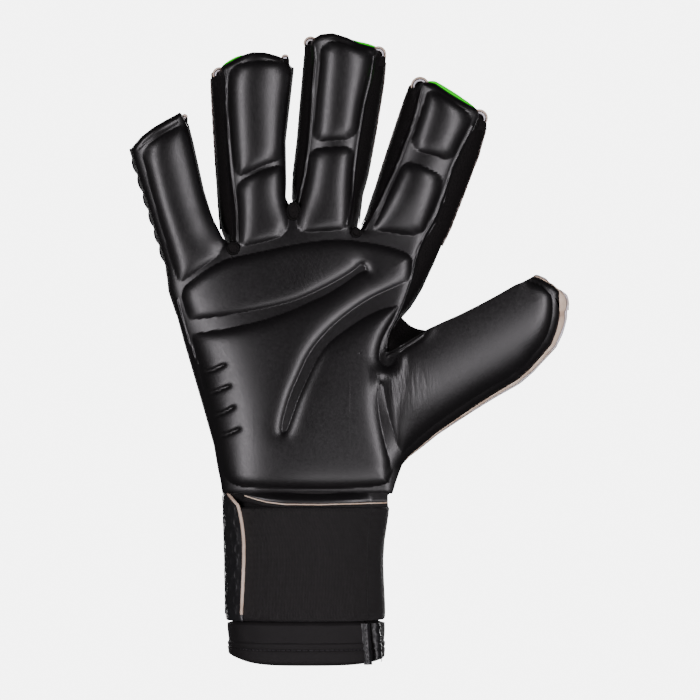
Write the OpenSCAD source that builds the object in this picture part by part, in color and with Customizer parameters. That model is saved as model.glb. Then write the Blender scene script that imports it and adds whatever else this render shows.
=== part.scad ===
// Goalkeeper glove for a right hand, size 9.
// Upright, fingers along +Z, palm towards -Y, thumb towards +X.
// The origin is the centre of the cuff's mouth, on the plane of its hem.

/* [Hand] */
// Depth of a finger, from palm side to back
finger_d = 27; // [25:0.5:28]
// Depth of the hand at the heel of the palm
palm_d = 46; // [43:1:49]
// Thickness of the moulded palm foam
palm_t = 5; // [4:0.5:5.5]
// Thickness of the backhand panels
back_t = 4; // [3:0.5:4.5]
// Thickness of the mesh gussets
gusset_t = 3; // [2.4:0.2:3.4]
// Thickness of the lining
lining_t = 0.8; // [0.6:0.1:1]

/* [Wrist] */
// Depth of the cuff, front to back
cuff_d = 48; // [46:1:50]
// Wall thickness of the neoprene cuff
cuff_t = 3.6; // [3:0.2:4.2]
// Height of the hem at the cuff's mouth
hem_h = 10; // [8:1:12]
// Height where the wrist strap starts
strap_z = 19; // [17:1:21]
// Height of the wrist strap
strap_h = 48.6; // [46:0.2:49.4]
// Thickness of the elastic band
strap_t = 2; // [1.6:0.1:2.2]
// Half angle of the slit at the cuff's mouth
slit_half = 5.5; // [4:0.5:7]

/* [Movement] */
// Bend of each finger at its knuckle
knuckle_bend = 60; // [30:5:60]
// Bend of a finger at its middle joint
middle_bend = 70; // [30:5:70]
// Bend of the thumb towards the palm
thumb_bend = 35; // [20:5:40]
// Gap left at each side of a bend line
joint_gap = 0.25; // [0.2:0.05:0.4]

/* [Hidden] */

BLACK = [0.07, 0.07, 0.075];
MESH = [0.12, 0.12, 0.13];
BEIGE = [0.85, 0.76, 0.66];
GREEN = [0.1, 0.9, 0.15];
LINING = [0.3, 0.3, 0.32];

// Heights of the knuckle and middle bend lines: pinky, ring, middle, index
KZ = [169, 182, 188, 183];
MZ = [300, 216, 223, 217];
// Depths of the bend axes
KY = -6;
MY = -7;
THY = -10;

// Left and right edges of each finger, as height and X
EL = [
    [[160, -59.5], [170, -60.5], [220, -76], [240, -82]],
    [[175, -31.2], [181, -31.6], [186, -35.4], [204, -37.8], [250, -40.4], [266, -40.6]],
    [[180, -5.3], [195, -5.3], [201, -6.4], [208, -6], [225, -3.8], [260, -0.8], [273, 0]],
    [[175, 23], [185, 23.4], [193, 26], [251, 45.2], [262, 49]]
];
ER = [
    [[160, -32], [172, -33], [179, -36], [186, -39], [196, -42], [204, -44.4], [225, -49], [240, -53]],
    [[175, -6.5], [194, -7.4], [201, -9], [225, -9.1], [255, -5.6], [266, -5.2]],
    [[180, 21.8], [190, 22], [202, 23.6], [260, 34.4], [273, 36.4]],
    [[173, 51], [180, 56], [191, 61.8], [217, 72.7], [235, 77.6], [255, 82]]
];
// Height of each fingertip across its width
TIP = [
    [[0, 220], [0.5, 230], [0.84, 236.5], [1, 232]],
    [[0, 256], [0.1, 258.4], [0.6, 263], [0.93, 262], [1, 256]],
    [[0, 266], [0.1, 270.4], [0.3, 271], [0.97, 264], [1, 261]],
    [[0, 249], [0.12, 253], [0.9, 238.4], [1, 233]]
];
// Where each finger's root sits on the hand
ROOT = [[-59.8, -32.4], [-31.2, -6.4], [-5.6, 21.8], [22.6, 55.5]];

// Edges of the hand between the cuff and the knuckles
HL = [[72, -36.2], [79, -37.2], [94, -39.8], [110, -44.4], [138, -52.6], [165, -59.6], [190, -60]];
HR = [[72, 37.2], [79, 39], [85, 41.7], [137, 34], [149, 41.2], [161, 46], [173, 51], [181, 56]];

// Edges of the thumb along its length: share, X and height
TBX = [[0, 41.7], [0.22, 56], [0.5, 72], [0.78, 90.5], [1, 102]];
TBZ = [[0, 85], [0.22, 96], [0.5, 108], [0.78, 119.5], [1, 128]];
TTX = [[0, 34], [0.22, 48], [0.5, 66], [0.78, 82], [1, 98]];
TTZ = [[0, 137], [0.22, 142.4], [0.5, 149.5], [0.78, 158], [1, 166.6]];

function mix(a, b, t) = a + (b - a) * t;
function spow(v, e) = sign(v) * pow(abs(v), e);
// How far a face at depth y stands back from a bend line whose axis is at depth yh
function cut(y, yh, a) = joint_gap + max(0, yh - y) * tan(a / 2);

// ---- plates: a closed slab between two grids of points with the same columns and rows
module slab(f, s, flip = false) {
    n = len(f);
    m = len(f[0]);
    o = n * m;
    pts = concat([for (c = f) each c], [for (c = s) each c]);
    faces = concat(
        [for (i = [0:n - 2], j = [0:m - 2]) each [
            [i * m + j, i * m + j + 1, i * m + m + j + 1],
            [i * m + j, i * m + m + j + 1, i * m + m + j]]],
        [for (i = [0:n - 2], j = [0:m - 2]) each [
            [o + i * m + j, o + i * m + m + j + 1, o + i * m + j + 1],
            [o + i * m + j, o + i * m + m + j, o + i * m + m + j + 1]]],
        [for (j = [0:m - 2]) each [
            [j, o + j, o + j + 1], [j, o + j + 1, j + 1],
            [(n - 1) * m + j, o + (n - 1) * m + j + 1, o + (n - 1) * m + j],
            [(n - 1) * m + j, (n - 1) * m + j + 1, o + (n - 1) * m + j + 1]]],
        [for (i = [0:n - 2]) each [
            [i * m, o + i * m + m, o + i * m], [i * m, i * m + m, o + i * m + m],
            [i * m + m - 1, o + i * m + m - 1, o + i * m + 2 * m - 1],
            [i * m + m - 1, o + i * m + 2 * m - 1, i * m + 2 * m - 1]]]
    );
    polyhedron(points = pts, faces = flip ? [for (q = faces) [q[0], q[2], q[1]]] : faces, convexity = 4);
}

// ---- fingers
function fx(i, u, z) = mix(lookup(z, EL[i]), lookup(z, ER[i]), u);
function share(i, z) = max(0, (z - KZ[i]) / 80);
function centre(i, z) = -5 * share(i, z) * share(i, z);
// Depth of a point set in by off from the palm face (side 0) or from the back (side 1)
function fy(i, z, side, off) = side == 0
    ? centre(i, z) - finger_d / 2 + share(i, z) + off
    : centre(i, z) + finger_d / 2 - share(i, z) - off;
function seg_lo(i, s) = s == 0 ? KZ[i] : MZ[i];
function seg_hi(i, s, u) = s == 0 && i > 0 ? MZ[i] : lookup(u, TIP[i]);
function lo_cut(i, s, y) = s == 0 ? cut(y, KY, knuckle_bend) : cut(y, MY, middle_bend);
function hi_cut(i, s, y) = s == 0 && i > 0 ? cut(y, MY, middle_bend) : 0;

// One column of a finger plate, from its lower bend line to its upper end
function column(i, s, u, side, off, rows = 3, short = 0) = [
    for (j = [0:rows])
        let (a = seg_lo(i, s) + lo_cut(i, s, fy(i, seg_lo(i, s), side, off)),
             b = seg_hi(i, s, u) - hi_cut(i, s, fy(i, seg_hi(i, s, u), side, off)) - short,
             z = mix(a, b, j / rows))
        [fx(i, u, z), fy(i, z, side, off), z]
];
// The column that runs along the depth of the bend axes
function axis_column(i, s, u, rows = 3, short = 0) = [
    for (j = [0:rows])
        let (ya = s == 0 ? KY : MY,
             yb = s == 0 && i > 0 ? MY : -9,
             a = seg_lo(i, s) + joint_gap,
             b = seg_hi(i, s, u) - (s == 0 && i > 0 ? joint_gap : short),
             z = mix(a, b, j / rows))
        [fx(i, u, z), mix(ya, yb, j / rows), z]
];

PAD_U = [0.13, 0.28, 0.5, 0.72, 0.87];
PAD_OFF = [3.2, 0.8, 0, 0.8, 3.2];
BACK_U = [0, 0.2, 0.5, 0.8, 1];
BACK_OFF = [2.6, 0.6, 0, 0.6, 2.6];

module finger_pad(i, s) {
    color(BLACK)
        slab([for (k = [0:4]) column(i, s, PAD_U[k], 0, PAD_OFF[k])],
             [for (k = [0:4]) column(i, s, PAD_U[k], 0, palm_t)]);
}
module finger_back(i, s) {
    color(BLACK)
        slab([for (k = [0:4]) column(i, s, BACK_U[k], 1, back_t)],
             [for (k = [0:4]) column(i, s, BACK_U[k], 1, BACK_OFF[k])]);
}
module finger_gusset(i, s, left) {
    du = gusset_t / 31;
    tip = s == 1 || i == 0;
    short = tip ? 6.5 : 0;
    u0 = left ? [0.13, 0.07, 0] : [0.87, 0.93, 1];
    u1 = left ? [0.13 + du, 0.07 + du, du] : [0.87 - du, 0.93 - du, 1 - du];
    // The axis column ends half way between its neighbours' ends
    function extra(u) = !tip ? 0 : short + lookup(u[1], TIP[i]) - (lookup(u[0], TIP[i]) + lookup(u[2], TIP[i])) / 2;
    function chain(u) = [
        column(i, s, u[0], 0, palm_t + 0.15, 3, short),
        axis_column(i, s, u[1], 3, extra(u)),
        column(i, s, u[2], 1, back_t + 0.15, 3, short)];
    slab(chain(u0), chain(u1), left);
}
module finger_gussets(i, s) {
    color(MESH) {
        finger_gusset(i, s, true);
        finger_gusset(i, s, false);
    }
}
// The closing seam across a fingertip, between palm and backhand
module tip_edge(i) {
    color(BEIGE)
        slab([for (k = [0:4]) let (u = mix(0.13, 0.87, k / 4), t = lookup(u, TIP[i]))
                 [for (z = [t - 2.7, t - 0.3]) [fx(i, u, z), fy(i, z, 0, palm_t + 0.15), z]]],
             [for (k = [0:4]) let (u = k / 4, t = lookup(u, TIP[i]))
                 [for (z = [t - 2.7, t - 0.3]) [fx(i, u, z), fy(i, z, 1, back_t + 0.15), z]]]);
}
// The bright panel on the back of a fingertip
module tip_accent(i) {
    us = [0.2, 0.5, 0.8];
    off = [0.6, 0, 0.6];
    function panel(d) = [for (k = [0:2]) let (t = lookup(us[k], TIP[i]))
        [for (z = [t - 12, t - 5, t + 1]) [fx(i, us[k], z), fy(i, z, 1, off[k] - d), z]]];
    color(GREEN) slab(panel(0.02), panel(1.2));
}

// ---- hand
function hand_d(z) = palm_d / 46
    * lookup(z, [[72, 23], [95, 23.4], [115, 23], [140, 19.5], [160, 16], [175, 14.4], [190, 14]]);
function near_l(u) = pow(max(0, 1 - 2 * u), 2.5);
function near_r(u) = pow(max(0, 2 * u - 1), 2.5);
function drop_r(z) = lookup(z, [[74, 0.42], [84, 0.3], [95, 0.14], [125, 0.14], [137, 0.26], [149, 0.42]]);
function hand_y(u, z) = hand_d(z) * (1 - 0.42 * near_l(u) - drop_r(z) * near_r(u));
// Set back of the hand's edge where the thumb bends
function thumb_cut(z, y) = z > 84.9 && z < 137.1 ? cut(y, THY, thumb_bend) : 0;
// Columns of the hand: two edges and the middle of each finger's root
COLS = [for (r = ROOT) each [[r[0]], [(r[0] + r[1]) / 2], [r[1]]]];
HZ = [74.6, 85, 97, 111, 124, 137, 149, 160];
function hand_col(k, back, depth, lo = 0, shift = 0, last = 8) = let (
        i = floor(k / 3),
        f = (COLS[k][0] - ROOT[0][0]) / (ROOT[3][1] - ROOT[0][0]),
        yk = back ? hand_y(f, KZ[i]) - depth : -hand_y(f, KZ[i]) + depth,
        top = KZ[i] - (back ? joint_gap : cut(yk, KY, knuckle_bend)))
    [for (j = [lo:last])
        let (z = j < 8 ? HZ[j] : top,
             t = pow(max(0, z - 138) / (top - 138), 2),
             y = back ? hand_y(f, z) - depth : -hand_y(f, z) + depth,
             edge = k == 11 ? thumb_cut(z, y) : 0,
             x = mix(mix(lookup(z, HL), lookup(z, HR), f), COLS[k][0], t) - edge)
        [x, y, z]];

module palm_shell() {
    color(BLACK)
        slab([for (k = [0:11]) hand_col(k, false, 0)],
             [for (k = [0:11]) hand_col(k, false, palm_t)]);
}
module back_shell() {
    color(BLACK)
        slab([for (k = [0:11]) hand_col(k, true, back_t)],
             [for (k = [0:11]) hand_col(k, true, 0)]);
}
// A wall along one edge of the hand, between palm and backhand
module side_wall(k, z0, z1, t) {
    f = k == 0 ? 0 : 1;
    zs = [for (j = [0:4]) mix(z0, z1, j / 4)];
    function ex(z) = k == 0 ? lookup(z, HL) : lookup(z, HR);
    function chain(d) = [
        [for (z = zs) [ex(z) + d, -hand_y(f, z) + palm_t, z]],
        [for (z = zs) [ex(z) + d + (k == 0 ? -1 : 1), 0, z]],
        [for (z = zs) [ex(z) + d, hand_y(f, z) - back_t, z]]];
    slab(chain(0), chain(k == 0 ? t : -t), k == 0);
}
module pinky_side_wall() color(MESH) side_wall(0, 74.6, 163.5, gusset_t);
module index_side_wall() color(MESH) side_wall(1, 138, 180, gusset_t);
module wrist_side_wall() color(MESH) side_wall(1, 74.6, 84.4, gusset_t);

// Walls between neighbouring finger roots
module finger_webs() {
    color(MESH) {
        translate([-30.6, -6, 165]) cube([1.8, 12, 14.5]);
        translate([-5.2, -6, 178.5]) cube([1.8, 12, 7.5]);
        translate([20, -6, 179]) cube([1.4, 12, 7.5]);
    }
}
module hand_lining(back) {
    depth = back ? back_t : palm_t;
    a = [for (k = [1:10]) hand_col(k, back, depth + 0.1, 1, 0, 7)];
    b = [for (k = [1:10]) hand_col(k, back, depth + 0.1 + lining_t, 1, 0, 7)];
    color(LINING) if (back) slab(b, a); else slab(a, b);
}
module palm_lining() hand_lining(false);
module back_lining() hand_lining(true);

// ---- cuff
CL = [[0, -33], [10, -33.7], [20, -34.2], [45, -34.6], [72, -35.4]];
CR = [[0, 33.6], [22, 34.2], [45, 33.6], [53, 34], [66, 36], [72, 37]];
SLIT = -28;
function cuff_pt(phi, z, inset) = let (
        a = (lookup(z, CR) - lookup(z, CL)) / 2 - inset,
        c = (lookup(z, CR) + lookup(z, CL)) / 2,
        b = cuff_d / 2 - inset)
    [c + a * spow(cos(phi), 0.92), b * spow(sin(phi), 0.92), z];
function slit_at(z) = lookup(z, [[0, slit_half], [10, slit_half * 0.75], [22, slit_half * 0.4], [45, 0.6], [80, 0.6]]);
// A curved plate on the cuff from angle p0 to p1, between two insets
module wrap(p0, p1, n, zs, i0, i1) {
    slab([for (k = [0:n]) [for (z = zs) cuff_pt(mix(p0, p1, k / n), z, i0)]],
         [for (k = [0:n]) [for (z = zs) cuff_pt(mix(p0, p1, k / n), z, i1)]]);
}
function sleeve_inset(z) = z < strap_z - 1 ? 0 : strap_t + (z > 72 ? 3.4 : 0.75);
module cuff_sleeve() {
    zs = [hem_h, strap_z - 1.4, strap_z - 0.8, 45, strap_z + strap_h + 0.4, 74.4];
    function grid(d) = [for (k = [0:36])
        [for (z = zs) cuff_pt(SLIT + mix(slit_at(z), 360 - slit_at(z), k / 36), z, sleeve_inset(z) + d)]];
    color(BLACK) slab(grid(0), grid(cuff_t));
}
module cuff_hem() {
    function arc(d, a, b) = [for (k = [0:40])
        let (p = cuff_pt(SLIT + mix(a, b, k / 40), 5, d)) [p[0], p[1]]];
    color(BLACK) linear_extrude(height = hem_h)
        polygon(concat(arc(-0.4, slit_half * 0.85, 360 - slit_half * 0.85),
                       arc(cuff_t + 0.4, 360 - slit_half * 0.85, slit_half * 0.85)));
}
module slit_bindings() {
    zs = [0.4, hem_h, strap_z - 1.6];
    color(BLACK) for (s = [-1, 1])
        slab([for (k = [0:3]) [for (z = zs) cuff_pt(SLIT + s * (slit_at(z) + 0.6 + 3 * k), z, -1.4)]],
             [for (k = [0:3]) [for (z = zs) cuff_pt(SLIT + s * (slit_at(z) + 0.6 + 3 * k), z, -0.45)]],
             s < 0);
}
STRAP_ZS = [strap_z, strap_z + strap_h * 0.5, strap_z + strap_h * 0.63, strap_z + strap_h];
module strap_anchor() color(BLACK) wrap(3, 42, 6, STRAP_ZS, 0, strap_t);
module elastic_band() color(BLACK) wrap(-179.2, -4, 22, STRAP_ZS, 0, strap_t);
module tab_sewn_end() color(BLACK) wrap(-179.2, -142, 6, STRAP_ZS, -1.2, -0.05);
module tab_edge_trim() color(BEIGE) wrap(-141.8, -139.4, 1, STRAP_ZS, -1.2, -0.05);
module closure_tab() color(BLACK) wrap(68, 179, 15, STRAP_ZS, -1.2, 0.5);
module hook_patch() color(MESH)
    wrap(74, 112, 5, [strap_z + 6, strap_z + strap_h * 0.5, strap_z + strap_h - 6], 0.55, 1.2);
module loop_patch() color(MESH)
    wrap(60, 122, 8, [strap_z + 4, strap_z + strap_h * 0.5, strap_z + strap_h - 4], strap_t - 0.2, strap_t + 0.7);
module palm_base_trim() {
    fs = [for (k = [0:10]) k / 10];
    function edge(f, z) = mix(lookup(z, HL), lookup(z, HR), f);
    color(BEIGE)
        slab([for (f = fs) [for (z = [strap_z + strap_h + 2, 74.5]) [edge(f, z), -hand_y(f, z) + 0.4, z]]],
             [for (f = fs) [for (z = [strap_z + strap_h + 2, 74.5]) [edge(f, z), -hand_y(f, z) + 2.2, z]]]);
}

// ---- thumb
function thumb_y(v, t, back, off) = let (
        h = mix(20, 13.5, pow(t, 0.8)), c = mix(-4, -8, t),
        e = 1 - 0.4 * pow(abs(2 * v - 1), 2.5))
    back ? c + h * e - off : c - h * e + off;
function thumb_pt(v, t, y) = let (
        x = mix(lookup(t, TBX), lookup(t, TTX), v) + t * t * lookup(v, [[0, 0], [0.33, 8.5], [0.7, 15], [1, 0]]),
        z = mix(lookup(t, TBZ), lookup(t, TTZ), v))
    [x + cut(y, THY, thumb_bend) * pow(1 - t, 3), y, z];
TS = [0, 0.2, 0.45, 0.72, 1];
function thumb_col(v, back, off, ts) = [for (t = ts) thumb_pt(v, t, thumb_y(v, t, back, off))];
VS = [for (k = [0:8]) k / 8];

module thumb_pad() {
    color(BLACK)
        slab([for (v = VS) thumb_col(v, false, 0, TS)],
             [for (v = VS) thumb_col(v, false, palm_t, TS)], true);
}
module thumb_backhand() {
    color(BLACK)
        slab([for (v = VS) thumb_col(v, true, back_t, TS)],
             [for (v = VS) thumb_col(v, true, 0, TS)], true);
}
GT = [0.03, 0.2, 0.45, 0.72, 0.93];
module thumb_gusset(v0, v1, flip) {
    function chain(v) = [
        thumb_col(v, false, palm_t + 0.35, GT),
        [for (t = GT) thumb_pt(v, t, mix(THY, -8, t))],
        thumb_col(v, true, back_t + 0.35, GT)];
    slab(chain(v0), chain(v1), flip);
}
module thumb_gussets() {
    color(MESH) {
        thumb_gusset(1, 1 - gusset_t / 42, true);
        thumb_gusset(0, gusset_t / 42, false);
    }
}
module thumb_tip_edge() {
    ts = [0.945, 0.995];
    color(BEIGE)
        slab([for (v = VS) thumb_col(v, false, palm_t, ts)],
             [for (v = VS) thumb_col(v, true, back_t, ts)], true);
}
module thumb_edge_trim() {
    ts = [0.1, 0.22, 0.45, 0.72, 1];
    color(BEIGE)
        slab([for (y = [-4, 2]) [for (t = ts) thumb_pt(-0.035, t, y)]],
             [for (y = [-4, 2]) [for (t = ts) thumb_pt(-0.004, t, y)]]);
}

palm_shell();
back_shell();
pinky_side_wall();
index_side_wall();
wrist_side_wall();
finger_webs();
palm_lining();
back_lining();
palm_base_trim();
cuff_sleeve();
cuff_hem();
slit_bindings();
strap_anchor();
loop_patch();
elastic_band();
tab_sewn_end();
tab_edge_trim();
closure_tab();
hook_patch();
finger_pad(0, 0);  // pinky_pad
finger_back(0, 0);  // pinky_backhand
finger_gussets(0, 0);  // pinky_gussets
tip_edge(0);  // pinky_tip_edge
finger_pad(1, 0);  // ring_lower_pad
finger_back(1, 0);  // ring_lower_backhand
finger_gussets(1, 0);  // ring_lower_gussets
finger_pad(1, 1);  // ring_tip_pad
finger_back(1, 1);  // ring_tip_backhand
finger_gussets(1, 1);  // ring_tip_gussets
tip_edge(1);  // ring_tip_edge
tip_accent(1);  // ring_tip_accent
finger_pad(2, 0);  // middle_lower_pad
finger_back(2, 0);  // middle_lower_backhand
finger_gussets(2, 0);  // middle_lower_gussets
finger_pad(2, 1);  // middle_tip_pad
finger_back(2, 1);  // middle_tip_backhand
finger_gussets(2, 1);  // middle_tip_gussets
tip_edge(2);  // middle_tip_edge
tip_accent(2);  // middle_tip_accent
finger_pad(3, 0);  // index_lower_pad
finger_back(3, 0);  // index_lower_backhand
finger_gussets(3, 0);  // index_lower_gussets
finger_pad(3, 1);  // index_tip_pad
finger_back(3, 1);  // index_tip_backhand
finger_gussets(3, 1);  // index_tip_gussets
tip_edge(3);  // index_tip_edge
tip_accent(3);  // index_tip_accent
thumb_pad();
thumb_backhand();
thumb_gussets();
thumb_tip_edge();
thumb_edge_trim();
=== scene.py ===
import math

import bpy
import numpy as np
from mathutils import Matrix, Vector


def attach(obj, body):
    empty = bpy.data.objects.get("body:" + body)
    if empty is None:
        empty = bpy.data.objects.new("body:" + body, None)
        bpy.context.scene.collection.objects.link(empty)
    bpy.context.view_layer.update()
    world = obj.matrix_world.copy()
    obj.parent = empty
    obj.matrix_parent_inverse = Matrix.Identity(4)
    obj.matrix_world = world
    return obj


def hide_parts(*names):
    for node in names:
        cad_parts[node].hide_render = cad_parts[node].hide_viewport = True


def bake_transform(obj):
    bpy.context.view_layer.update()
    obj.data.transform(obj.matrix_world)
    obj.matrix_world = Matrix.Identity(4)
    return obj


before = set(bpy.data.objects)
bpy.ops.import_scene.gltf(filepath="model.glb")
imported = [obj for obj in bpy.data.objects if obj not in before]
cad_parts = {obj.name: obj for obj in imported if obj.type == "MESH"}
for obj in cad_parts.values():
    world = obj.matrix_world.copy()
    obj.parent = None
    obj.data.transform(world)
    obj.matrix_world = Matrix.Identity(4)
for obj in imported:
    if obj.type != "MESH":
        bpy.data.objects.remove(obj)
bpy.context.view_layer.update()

INTERP = np.interp
PI = math.pi


# ------------------------------------------------------------------ tables, in mm
def table(rows):
    a = np.array(rows, float)
    return lambda z: np.interp(z, a[:, 0], a[:, 1])


KZ = [169, 182, 188, 183]
EL = [table(r) for r in (
    [[150, -56], [160, -59.5], [170, -60.5], [220, -76], [240, -82]],
    [[175, -31.6], [179, -33.6], [186, -36.4], [204, -37.8], [250, -40.4], [266, -40.6]],
    [[180, -5.4], [195, -5.4], [201, -6.6], [208, -6], [225, -3.8], [260, -0.8], [273, 0]],
    [[175, 21.6], [184.5, 21.9], [193, 26], [251, 45.2], [262, 49]])]
ER = [table(r) for r in (
    [[172, -31.5], [179, -34.4], [186, -39], [196, -42], [204, -44.4], [225, -49], [240, -53]],
    [[175, -6.5], [194, -5.8], [196, -5.8], [201, -9], [225, -9.1], [255, -5.6], [266, -5.2]],
    [[180, 21.8], [184.5, 21.9], [190, 22.8], [202, 24.2], [209.5, 26.5], [229, 30], [250, 33.4], [262, 34.6], [273, 36.4]],
    [[138, 34.4], [146, 41.0], [151.4, 43.9], [156.5, 47.3], [161.7, 50.4], [166.8, 52.7], [172, 55.2], [177.2, 57.4], [182.3, 59.6], [187.5, 62.1], [192.6, 64], [197.8, 66.1], [203, 68.2], [208, 70.3], [213.3, 72.1], [218.4, 74.2], [223.6, 75.6], [228.8, 77.2], [234, 78], [255, 82]])]
# Front seams of each finger
FL = [table(r) for r in (
    [[73, -35.9], [79, -36.8], [94, -39.2], [110, -43.6], [138, -51.8], [160, -58.2], [170, -59.3], [220, -74.6], [240, -80.8]],
    [[179.3, -31.3], [186.6, -31.8], [195.8, -32.1], [206.8, -33.3], [223, -34.8], [242, -35.6], [252, -36.8], [258, -38.6], [266, -39.5]],
    [[195.8, -5.5], [199, -4.6], [206.8, -2.4], [228.7, -0.1], [242, 0.7], [261.6, 2.4], [266, 1.6], [273, 1]],
    [[184.9, 21.9], [187, 24.6], [193.1, 28.1], [203.5, 32.5], [214.5, 38], [224.3, 41.3], [233.1, 45.1], [241.9, 46.6], [252, 49.2], [262, 51]])]
FR = [table(r) for r in (
    [[172, -31.5], [179.3, -31.3], [183, -35.6], [196, -42.3], [204, -44.7], [225, -49.4], [240, -53.2]],
    [[190, -5.8], [195.8, -5.5], [199, -8.6], [225, -9.5], [255, -6.2], [266, -5.8]],
    [[182, 21.6], [184.9, 21.9], [186.5, 19.6], [199.7, 21], [209.5, 21.6], [223, 23.2], [229.8, 24.3], [239.7, 25.9], [250.7, 28.7], [261.6, 30.4], [266, 32.4], [273, 33]],
    [[134, 35], [140.6, 35.3], [149.4, 40.7], [154.3, 42.3], [166.6, 46.7], [173.6, 47.9], [181.5, 50.7], [189.2, 55.6], [198.6, 59.4], [207.9, 62.1], [217.8, 66], [232, 73.2], [240, 76], [255, 80]])]
TIPS = [
    [[0, 220.4], [0.05, 221.8], [0.25, 226.6], [0.45, 230.2], [0.65, 233.2], [0.84, 235.8], [0.93, 237.2], [0.965, 235.8], [1, 231.2]],
    [[0, 253], [0.05, 255], [0.14, 257.3], [0.3, 260.2], [0.4, 261.8], [0.5, 262.8], [0.65, 262.7], [0.8, 261.4], [0.9, 260], [1, 256]],
    [[0, 265.5], [0.08, 268.5], [0.18, 270.6], [0.32, 271], [0.5, 269.1], [0.65, 266.7], [0.85, 265.0], [0.94, 263.3], [1, 260]],
    [[0, 247], [0.08, 250.5], [0.16, 250.6], [0.3, 249.4], [0.5, 245.2], [0.7, 241.4], [0.85, 238.8], [0.94, 236.6], [1, 233]]]
TIP = [table(r) for r in TIPS]
# Line of each finger pad that faces straight forward
XV = [table(r) for r in (
    [[160, -47], [165, -48], [177, -50.8], [196, -57.4], [208, -60.5], [222, -64], [236, -67]],
    [[180, -20], [200, -20.3], [223, -22], [245, -22.6], [258, -22]],
    [[185, 9], [205, 10], [225, 13], [245, 14.4], [265, 16]],
    [[175, 35.5], [188, 39.5], [208, 46.7], [228, 55.5], [245, 61]])]
HL = table([[72, -36.2], [79, -37.2], [94, -39.8], [110, -44.4], [138, -52.6], [165, -59.6], [190, -60]])
HR = table([[72, 37.2], [79, 39], [85, 41.7], [137, 34], [149, 41.2], [161, 46], [173, 51], [181, 56]])
def soft(rows, r):
    """The same table with its corners rounded over r."""
    f = table(rows)
    g = np.arange(rows[0][0] - 20.0, rows[-1][0] + 20.0, 0.5)
    k = np.exp(-(np.arange(-3 * r, 3 * r + 0.1, 0.5) / r) ** 2)
    v = np.convolve(np.pad(f(g), len(k) // 2, mode="edge"), k / k.sum(), "valid")
    return lambda z: np.interp(z, g, v)


HAND_D = soft([[66, 20.6], [73, 21.4], [85, 22.7], [100, 23.3], [115, 23], [140, 20.2], [160, 16.6], [175, 14.6], [190, 14], [200, 13.6]], 6)
KNUCKLE = table([[-70, 160], [-47, 163], [-19.5, 176], [8.3, 182], [24, 181], [40, 177.5], [60, 174]])
# Lines between the strips of neighbouring fingers, below their crotches
SPLIT = [table([[73, -14.5], [140, -24], [165, -31], [172, -31.5], [179.3, -31.3]]),
         table([[73, 0], [150, -4], [180, -5.6], [195.8, -5.5]]),
         table([[73, 13], [150, 19], [175, 21.6], [184.9, 21.9]])]
CROTCH = [179.3, 195.8, 184.9]

PALM = [(-52.72, 161.68), (-50.78, 163.57), (-43.13, 169.33), (-34.66, 173.94), (-27.0, 175.48), (-16.25, 177.81), (-6.88, 179.91), (8.47, 182.19), (16.17, 182.41), (21.93, 181.63), (31.52, 180.3), (39.13, 178.36), (44.4, 176.2), (45.9, 173.6), (45.0, 165.12), (41.9, 159.75), (40.2, 154.37), (38.0, 149.64), (33.4, 141.47), (31.61, 135.88), (31.22, 132.01), (32.46, 128.57), (35.05, 127.5), (37.62, 129.22), (39.13, 132.87), (42.14, 135.45), (46.87, 138.03), (50.74, 141.04), (54.18, 148.06), (70.52, 158.52), (92.88, 169.42), (95.55, 164.3), (99.46, 163.19), (102.98, 160.99), (104.75, 158.8), (105.61, 155.27), (105.39, 149.17), (103.89, 143.02), (101.65, 138.16), (97.27, 132.91), (93.27, 127.58), (84.45, 121.86), (75.68, 117.05), (64.72, 109.99), (55.94, 103.89), (47.17, 96.41), (41.02, 90.69), (39.13, 86.43), (36.34, 81.53), (34.27, 75.68), (-24.55, 75.89), (-31.13, 77.4), (-34.44, 79.89), (-36.51, 85.66), (-38.14, 95.5), (-40.42, 104.92), (-43.0, 115.67), (-45.41, 126.42), (-47.34, 132.87), (-48.89, 141.3), (-50.22, 148.61), (-51.94, 152.82), (-53.49, 157.38)]
G1 = [(-51.6, 147.49), (-49.28, 147.83), (-36.98, 149.21), (-23.91, 151.49), (-12.43, 153.98), (-4.73, 156.09), (1.72, 158.8), (8.47, 162.11), (16.17, 166.28), (21.93, 170.11), (22.7, 171.27), (23.86, 171.91), (25.16, 171.14), (25.93, 168.78), (23.82, 168.56), (21.93, 167.44), (16.17, 163.19), (8.47, 158.41), (1.72, 155.53), (-4.73, 152.44), (-16.25, 148.22), (-27.78, 145.34), (-39.3, 143.23), (-48.5, 142.07), (-50.74, 141.9)]
G2 = [(46.44, 165.55), (42.27, 163.96), (35.35, 160.91), (27.69, 157.42), (20.0, 152.44), (12.3, 146.29), (6.58, 140.57), (0.82, 132.87), (-2.75, 124.74), (-6.45, 116.53), (-8.9, 108.7), (-10.36, 102.08), (-9.93, 99.63), (-8.08, 100.45), (-6.02, 106.21), (-3.14, 114.47), (0.56, 122.68), (5.42, 132.87), (10.41, 138.63), (18.06, 144.39), (25.76, 149.38), (33.45, 152.82), (41.11, 154.37), (43.86, 155.23)]
R1 = [(-48.16, 127.5), (-46.35, 126.59), (-43.9, 125.99), (-39.77, 126.81), (-35.26, 128.83), (-34.74, 128.57), (-39.77, 125.9), (-43.9, 124.71), (-46.35, 125.03), (-48.16, 125.69)]
R2 = [(-46.01, 118.03), (-43.9, 117.35), (-40.59, 117.35), (-36.89, 118.34), (-33.2, 119.8), (-32.68, 119.54), (-36.89, 117.43), (-40.59, 116.07), (-43.9, 115.78), (-46.01, 116.23)]
R3 = [(-43.64, 108.79), (-41.62, 108.27), (-38.53, 107.84), (-34.44, 108.88), (-31.35, 110.72), (-30.83, 110.47), (-34.44, 107.97), (-38.53, 106.57), (-41.62, 106.71), (-43.64, 106.98)]
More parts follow.
